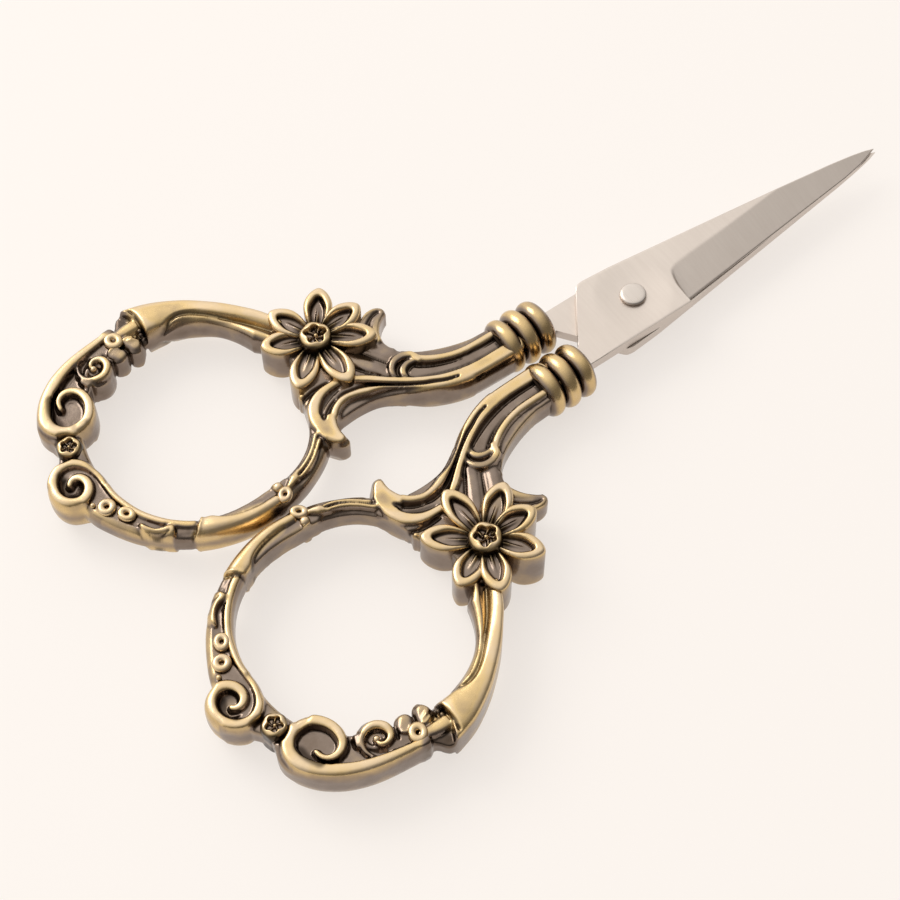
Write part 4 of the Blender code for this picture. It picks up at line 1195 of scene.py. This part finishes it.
def spread(pattern, spots, turn, swell):
    """One mesh of a pattern at every spot, turned and swelled there."""
    source = in_scene(f"{pattern.name}_pattern", pattern)
    marked = places(spots, turn=turn, swell=swell)
    mesh = grown(SPREAD_TREE, marked, {"Pattern": source, "Material": cast_brass})
    bpy.data.objects.remove(source)
    return mesh


petal = Relief(low=(0.2, -2.4), high=(8.1, 2.4), cell=0.13, web=PETAL_TOP, rounding=0.55)
petal.area((
    (0.7, -0.5), (1.6, -0.95), (2.8, -1.45), (4.0, -1.78), (5.1, -1.8), (6.1, -1.45), (6.95, -0.85),
    (7.45, 0.0), (6.95, 0.85), (6.1, 1.45), (5.1, 1.8), (4.0, 1.78), (2.8, 1.45), (1.6, 0.95), (0.7, 0.5),
))
petal.height *= np.interp(petal.x, (0.8, 2.5, 4.5), (0.86, 0.96, 1.0))
petal.panel((
    (0.6, -0.28), (2.0, -0.52), (3.4, -0.72), (4.3, -0.68), (5.2, -0.34), (5.75, 0.0), (5.2, 0.34),
    (4.3, 0.68), (3.4, 0.72), (2.0, 0.5), (0.6, 0.28),
), 2.4, slope=1.9, blunt=0.0)
petal.ridge((
    (0.8, 0.0), (2.8, 0.0), (4.8, 0.0),
), (0.42, 0.38, 0.15), (2.85, 2.75, 2.5), foot=2.3, fullness=2.0)
for side in (-1, 1):
    petal.groove([(x, side * y) for x, y in EDGE_OF_HOLLOW], (0.34, 0.30, 0.26, 0.26, 0.28, 0.28), 0.10, 0.8)
    petal.groove([(x, side * 1.9 * y) for x, y in EDGE_OF_HOLLOW[:3]], (0.3, 0.2, 0.05), 0.1, 0.5)
petal.darken_dip_and_shade(((0.4, 0.0), (1.5, 0.0)), 2.2, 0.9)
cast_on_both("petals", spread(
    petal.cast("petal", layer=0.25, top=3.9), [(*FLOWER, 0)] * len(PETALS),
    turn=[(0, 0, radians(angle)) for angle, _ in PETALS],
    swell=[
        (length / PETAL_LENGTH, 1.0, (PETAL_HEIGHT + PETAL_LIFT * length * cos(radians(angle))) / PETAL_TOP)
        for angle, length in PETALS
    ],
))

# the curled heart of the flower, and the smaller rosette between the two volutes
ROSETTE = (-69.1, 22.3)
ROSE_FLOOR = 2.6
SPOKES = 5
rose = Relief(low=(-2.3, -2.3), high=(2.3, 2.3), cell=0.09, web=1.0, rounding=0.35)
turn_round = np.arctan2(rose.y, rose.x)
out_from = np.hypot(rose.x, rose.y)
five_lobes = np.cos(5 * turn_round)
rose.outside = out_from - (1.9 + 0.10 * five_lobes)
dome = 2.2 + 1.48 * np.sqrt(np.clip(1 - (out_from / 2.0) ** 4.0, 0, 1))
dome += 0.08 * five_lobes * eased(out_from, 1.0, 1.5)
hollow_out = 1.05 + 0.15 * np.cos(5 * turn_round + 0.9) + 0.07 * np.cos(3 * turn_round)
in_hollow = eased(hollow_out - out_from, -0.10, 0.14)
rose.height = dome * (1 - in_hollow) + in_hollow * ROSE_FLOOR
rose.ridge(((0.05, 0.0), (0.06, 0.01)), 0.74, 3.3, foot=2.5, fullness=2.0)
for spoke in range(SPOKES):
    angle = radians(360 / SPOKES * spoke + 20)
    inner = (0.42 * cos(angle), 0.42 * sin(angle))
    outer = (0.98 * cos(angle + 0.35), 0.98 * sin(angle + 0.35))
    rose.ridge((inner, outer), 0.26, 3.12, foot=2.5, fullness=2.0)
rose.darken_dip_and_shade(((0.05, 0.0),), 1.0, 0.15)
rose.darken_dip_and_shade([(2.0 * cos(radians(a)), 2.0 * sin(radians(a))) for a in range(0, 361, 30)], 0.55, 0.9)
cast_on_both("roses", spread(
    rose.cast("rose", layer=0.16, top=3.84, softness=0.05), [(*FLOWER, 0), (*ROSETTE, 0)],
    turn=[(0, 0, 0), (0, 0, 1.0)], swell=[(1.16, 1.16, 1.02), (0.84, 0.84, 0.70)],
))

# Circlets and beads
# Small rings and beads stand along the finger ring on both faces, cast with it. Their tops
# are rubbed bright, and the dark dip stays round their feet.
CIRCLET_HEIGHT = 2.05           # of its middle
CIRCLETS = (                    # x, y, half width, half length, turn
    (-69.7, 12.5, 1.15, 1.15, 0.0), (-68.3, 10.3, 0.95, 1.2, 0.5), (-56.8, 32.4, 1.15, 1.3, 0.4),
    (-51.8, 1.45, 0.88, 1.15, -0.85),
)
BEADS = (                       # x, y, radius, height of its middle
    (-53.25, 32.1, 0.38, 1.5), (-53.4, 31.5, 0.34, 1.45), (-51.9, 2.85, 0.66, 1.85),
    (-70.9, 13.75, 0.35, 1.9), (-60.9, 30.3, 0.42, 1.95),
)
CIRCLET_STEPS = 36
CIRCLET_SIDES = 14
CIRCLET_MIDDLE = 0.60           # the pattern reaches 1 mm out
CIRCLET_THICK = 0.40
CIRCLET_RISE = 0.42
FACES = (-1, 1)

circlet_points = []
for step in range(CIRCLET_STEPS):
    angle = 2 * pi * step / CIRCLET_STEPS
    for side in range(CIRCLET_SIDES):
        around = 2 * pi * side / CIRCLET_SIDES
        out = CIRCLET_MIDDLE + CIRCLET_THICK * cos(around)
        circlet_points.append((out * cos(angle), out * sin(angle), CIRCLET_RISE * sin(around)))
circlet = mesh_of("circlet", circlet_points, net_faces(CIRCLET_STEPS, CIRCLET_SIDES, True, True))
circlets = spread(
    circlet, [(x, y, face * CIRCLET_HEIGHT) for x, y, *_ in CIRCLETS for face in FACES],
    turn=[(0, 0, row[4]) for row in CIRCLETS for _ in FACES],
    swell=[(row[2], row[3], 1.0) for row in CIRCLETS for _ in FACES],
)

bead = bpy.data.meshes.new("bead")
bm = bmesh.new()
bmesh.ops.create_icosphere(bm, subdivisions=3, radius=1.0)
bm.to_mesh(bead)
bm.free()
beads = spread(
    bead, [(x, y, face * up) for x, y, _, up in BEADS for face in FACES],
    turn=[(0, 0, 0)] * (2 * len(BEADS)),
    swell=[(radius, radius, radius) for _, _, radius, _ in BEADS for _ in FACES],
)
for name, mesh in (("circlets", circlets), ("beads", beads)):
    up = np.abs(points_of(mesh)[:, 2])
    store(mesh, "rubbed", 0.2 + 0.75 * eased(up, 1.6, 2.3))
    store(mesh, "sunk", 0.8 * (1 - eased(up, 1.75, 2.1)))
    cast_on_both(name, mesh)

# Table and light
# A pale warm painted table in soft daylight from the far left, and the camera above the near
# corner. The table isn't part of the object, so it is staged.
CAMERA_FROM_PIVOT = Vector((-0.10357, -0.10313, 0.20212))
CAMERA_RIGHT = Vector((0.80660, -0.59108, -0.00280))
CAMERA_UP = Vector((0.50682, 0.68917, 0.51785))
LENS = 78.0
SENSOR = 36.0
TABLE_HALF = 3.0
TABLE_TOP = -0.0002
TABLE_COLOUR = (0.94, 0.90, 0.86)
TABLE_ROUGH = 0.6
GLOW_COLOUR = (0.985, 0.925, 0.875)
GLOW_SHARE = 0.70

camera_data = bpy.data.cameras.new("camera")
camera_data.lens = LENS
camera_data.sensor_width = SENSOR
camera_data.clip_start = 0.005
camera = in_scene("camera", camera_data)
turn = Matrix((CAMERA_RIGHT, CAMERA_UP, CAMERA_RIGHT.cross(CAMERA_UP))).transposed().to_4x4()
camera.matrix_world = Matrix.Translation(pivot + CAMERA_FROM_PIVOT) @ turn
bpy.context.scene.camera = camera

corners = [(x * TABLE_HALF, y * TABLE_HALF, TABLE_TOP) for x, y in ((-1, -1), (1, -1), (1, 1), (-1, 1))]
table_mesh = bpy.data.meshes.new("table_top")
table_mesh.from_pydata(corners, [], [(0, 1, 2, 3)])
paint = bpy.data.materials.new("table_paint")
paint.use_nodes = True
tree = paint.node_tree
table_shader = tree.nodes["Principled BSDF"]
feed(table_shader, Base_Color=(*TABLE_COLOUR, 1), Roughness=TABLE_ROUGH)
# seen straight or in a reflection, the table is partly its own plain pale colour, so that the
# shadow on it stays soft
glow = add_node(tree, "ShaderNodeEmission", Color=(*GLOW_COLOUR, 1), Strength=1.0)
rays = add_node(tree, "ShaderNodeLightPath").outputs
seen = rays["Is Camera Ray"]
for label in ("Is Glossy Ray", "Is Transmission Ray"):
    seen = add_node(tree, "ShaderNodeMath", {"operation": "MAXIMUM"}, _0=seen, _1=rays[label])
share = add_node(tree, "ShaderNodeMath", {"operation": "MULTIPLY"}, _0=seen, _1=GLOW_SHARE)
both = add_node(tree, "ShaderNodeMixShader", Fac=share, _1=table_shader, _2=glow)
feed(tree.nodes["Material Output"], Surface=both)
table_mesh.materials.append(paint)
in_scene("table_top", table_mesh)

# the room's light comes mostly from the far side and overhead, and fades towards the near side
ROOM_BRIGHT = (1.22, 1.19, 1.15)
ROOM_DIM = (0.20, 0.188, 0.178)
BRIGHT_SIDE = Vector((-0.15, 0.85, 0.50)).normalized()
world = bpy.data.worlds.new("daylight")
bpy.context.scene.world = world
world.use_nodes = True
tree = world.node_tree
direction = add_node(tree, "ShaderNodeTexCoord").outputs["Generated"]
towards = add_node(
    tree, "ShaderNodeVectorMath", {"operation": "DOT_PRODUCT"}, _0=direction, _1=BRIGHT_SIDE,
).outputs["Value"]
fade = add_node(
    tree, "ShaderNodeMapRange", {"interpolation_type": "SMOOTHSTEP"}, Value=towards,
    From_Min=-0.40, From_Max=0.86,
)
feed(tree.nodes["Background"], Color=between(tree, fade, ROOM_DIM, ROOM_BRIGHT))

WINDOW = Vector((-0.22, 0.62, 0.55))
lamp_data = bpy.data.lights.new("window", "AREA")
lamp_data.size = 0.50
lamp_data.energy = 3.0
lamp_data.color = (1.0, 0.97, 0.93)
lamp = in_scene("window", lamp_data)
lamp.location = WINDOW
lamp.rotation_euler = (-WINDOW).to_track_quat("-Z", "Y").to_euler()

bpy.context.scene.view_settings.view_transform = "Standard"
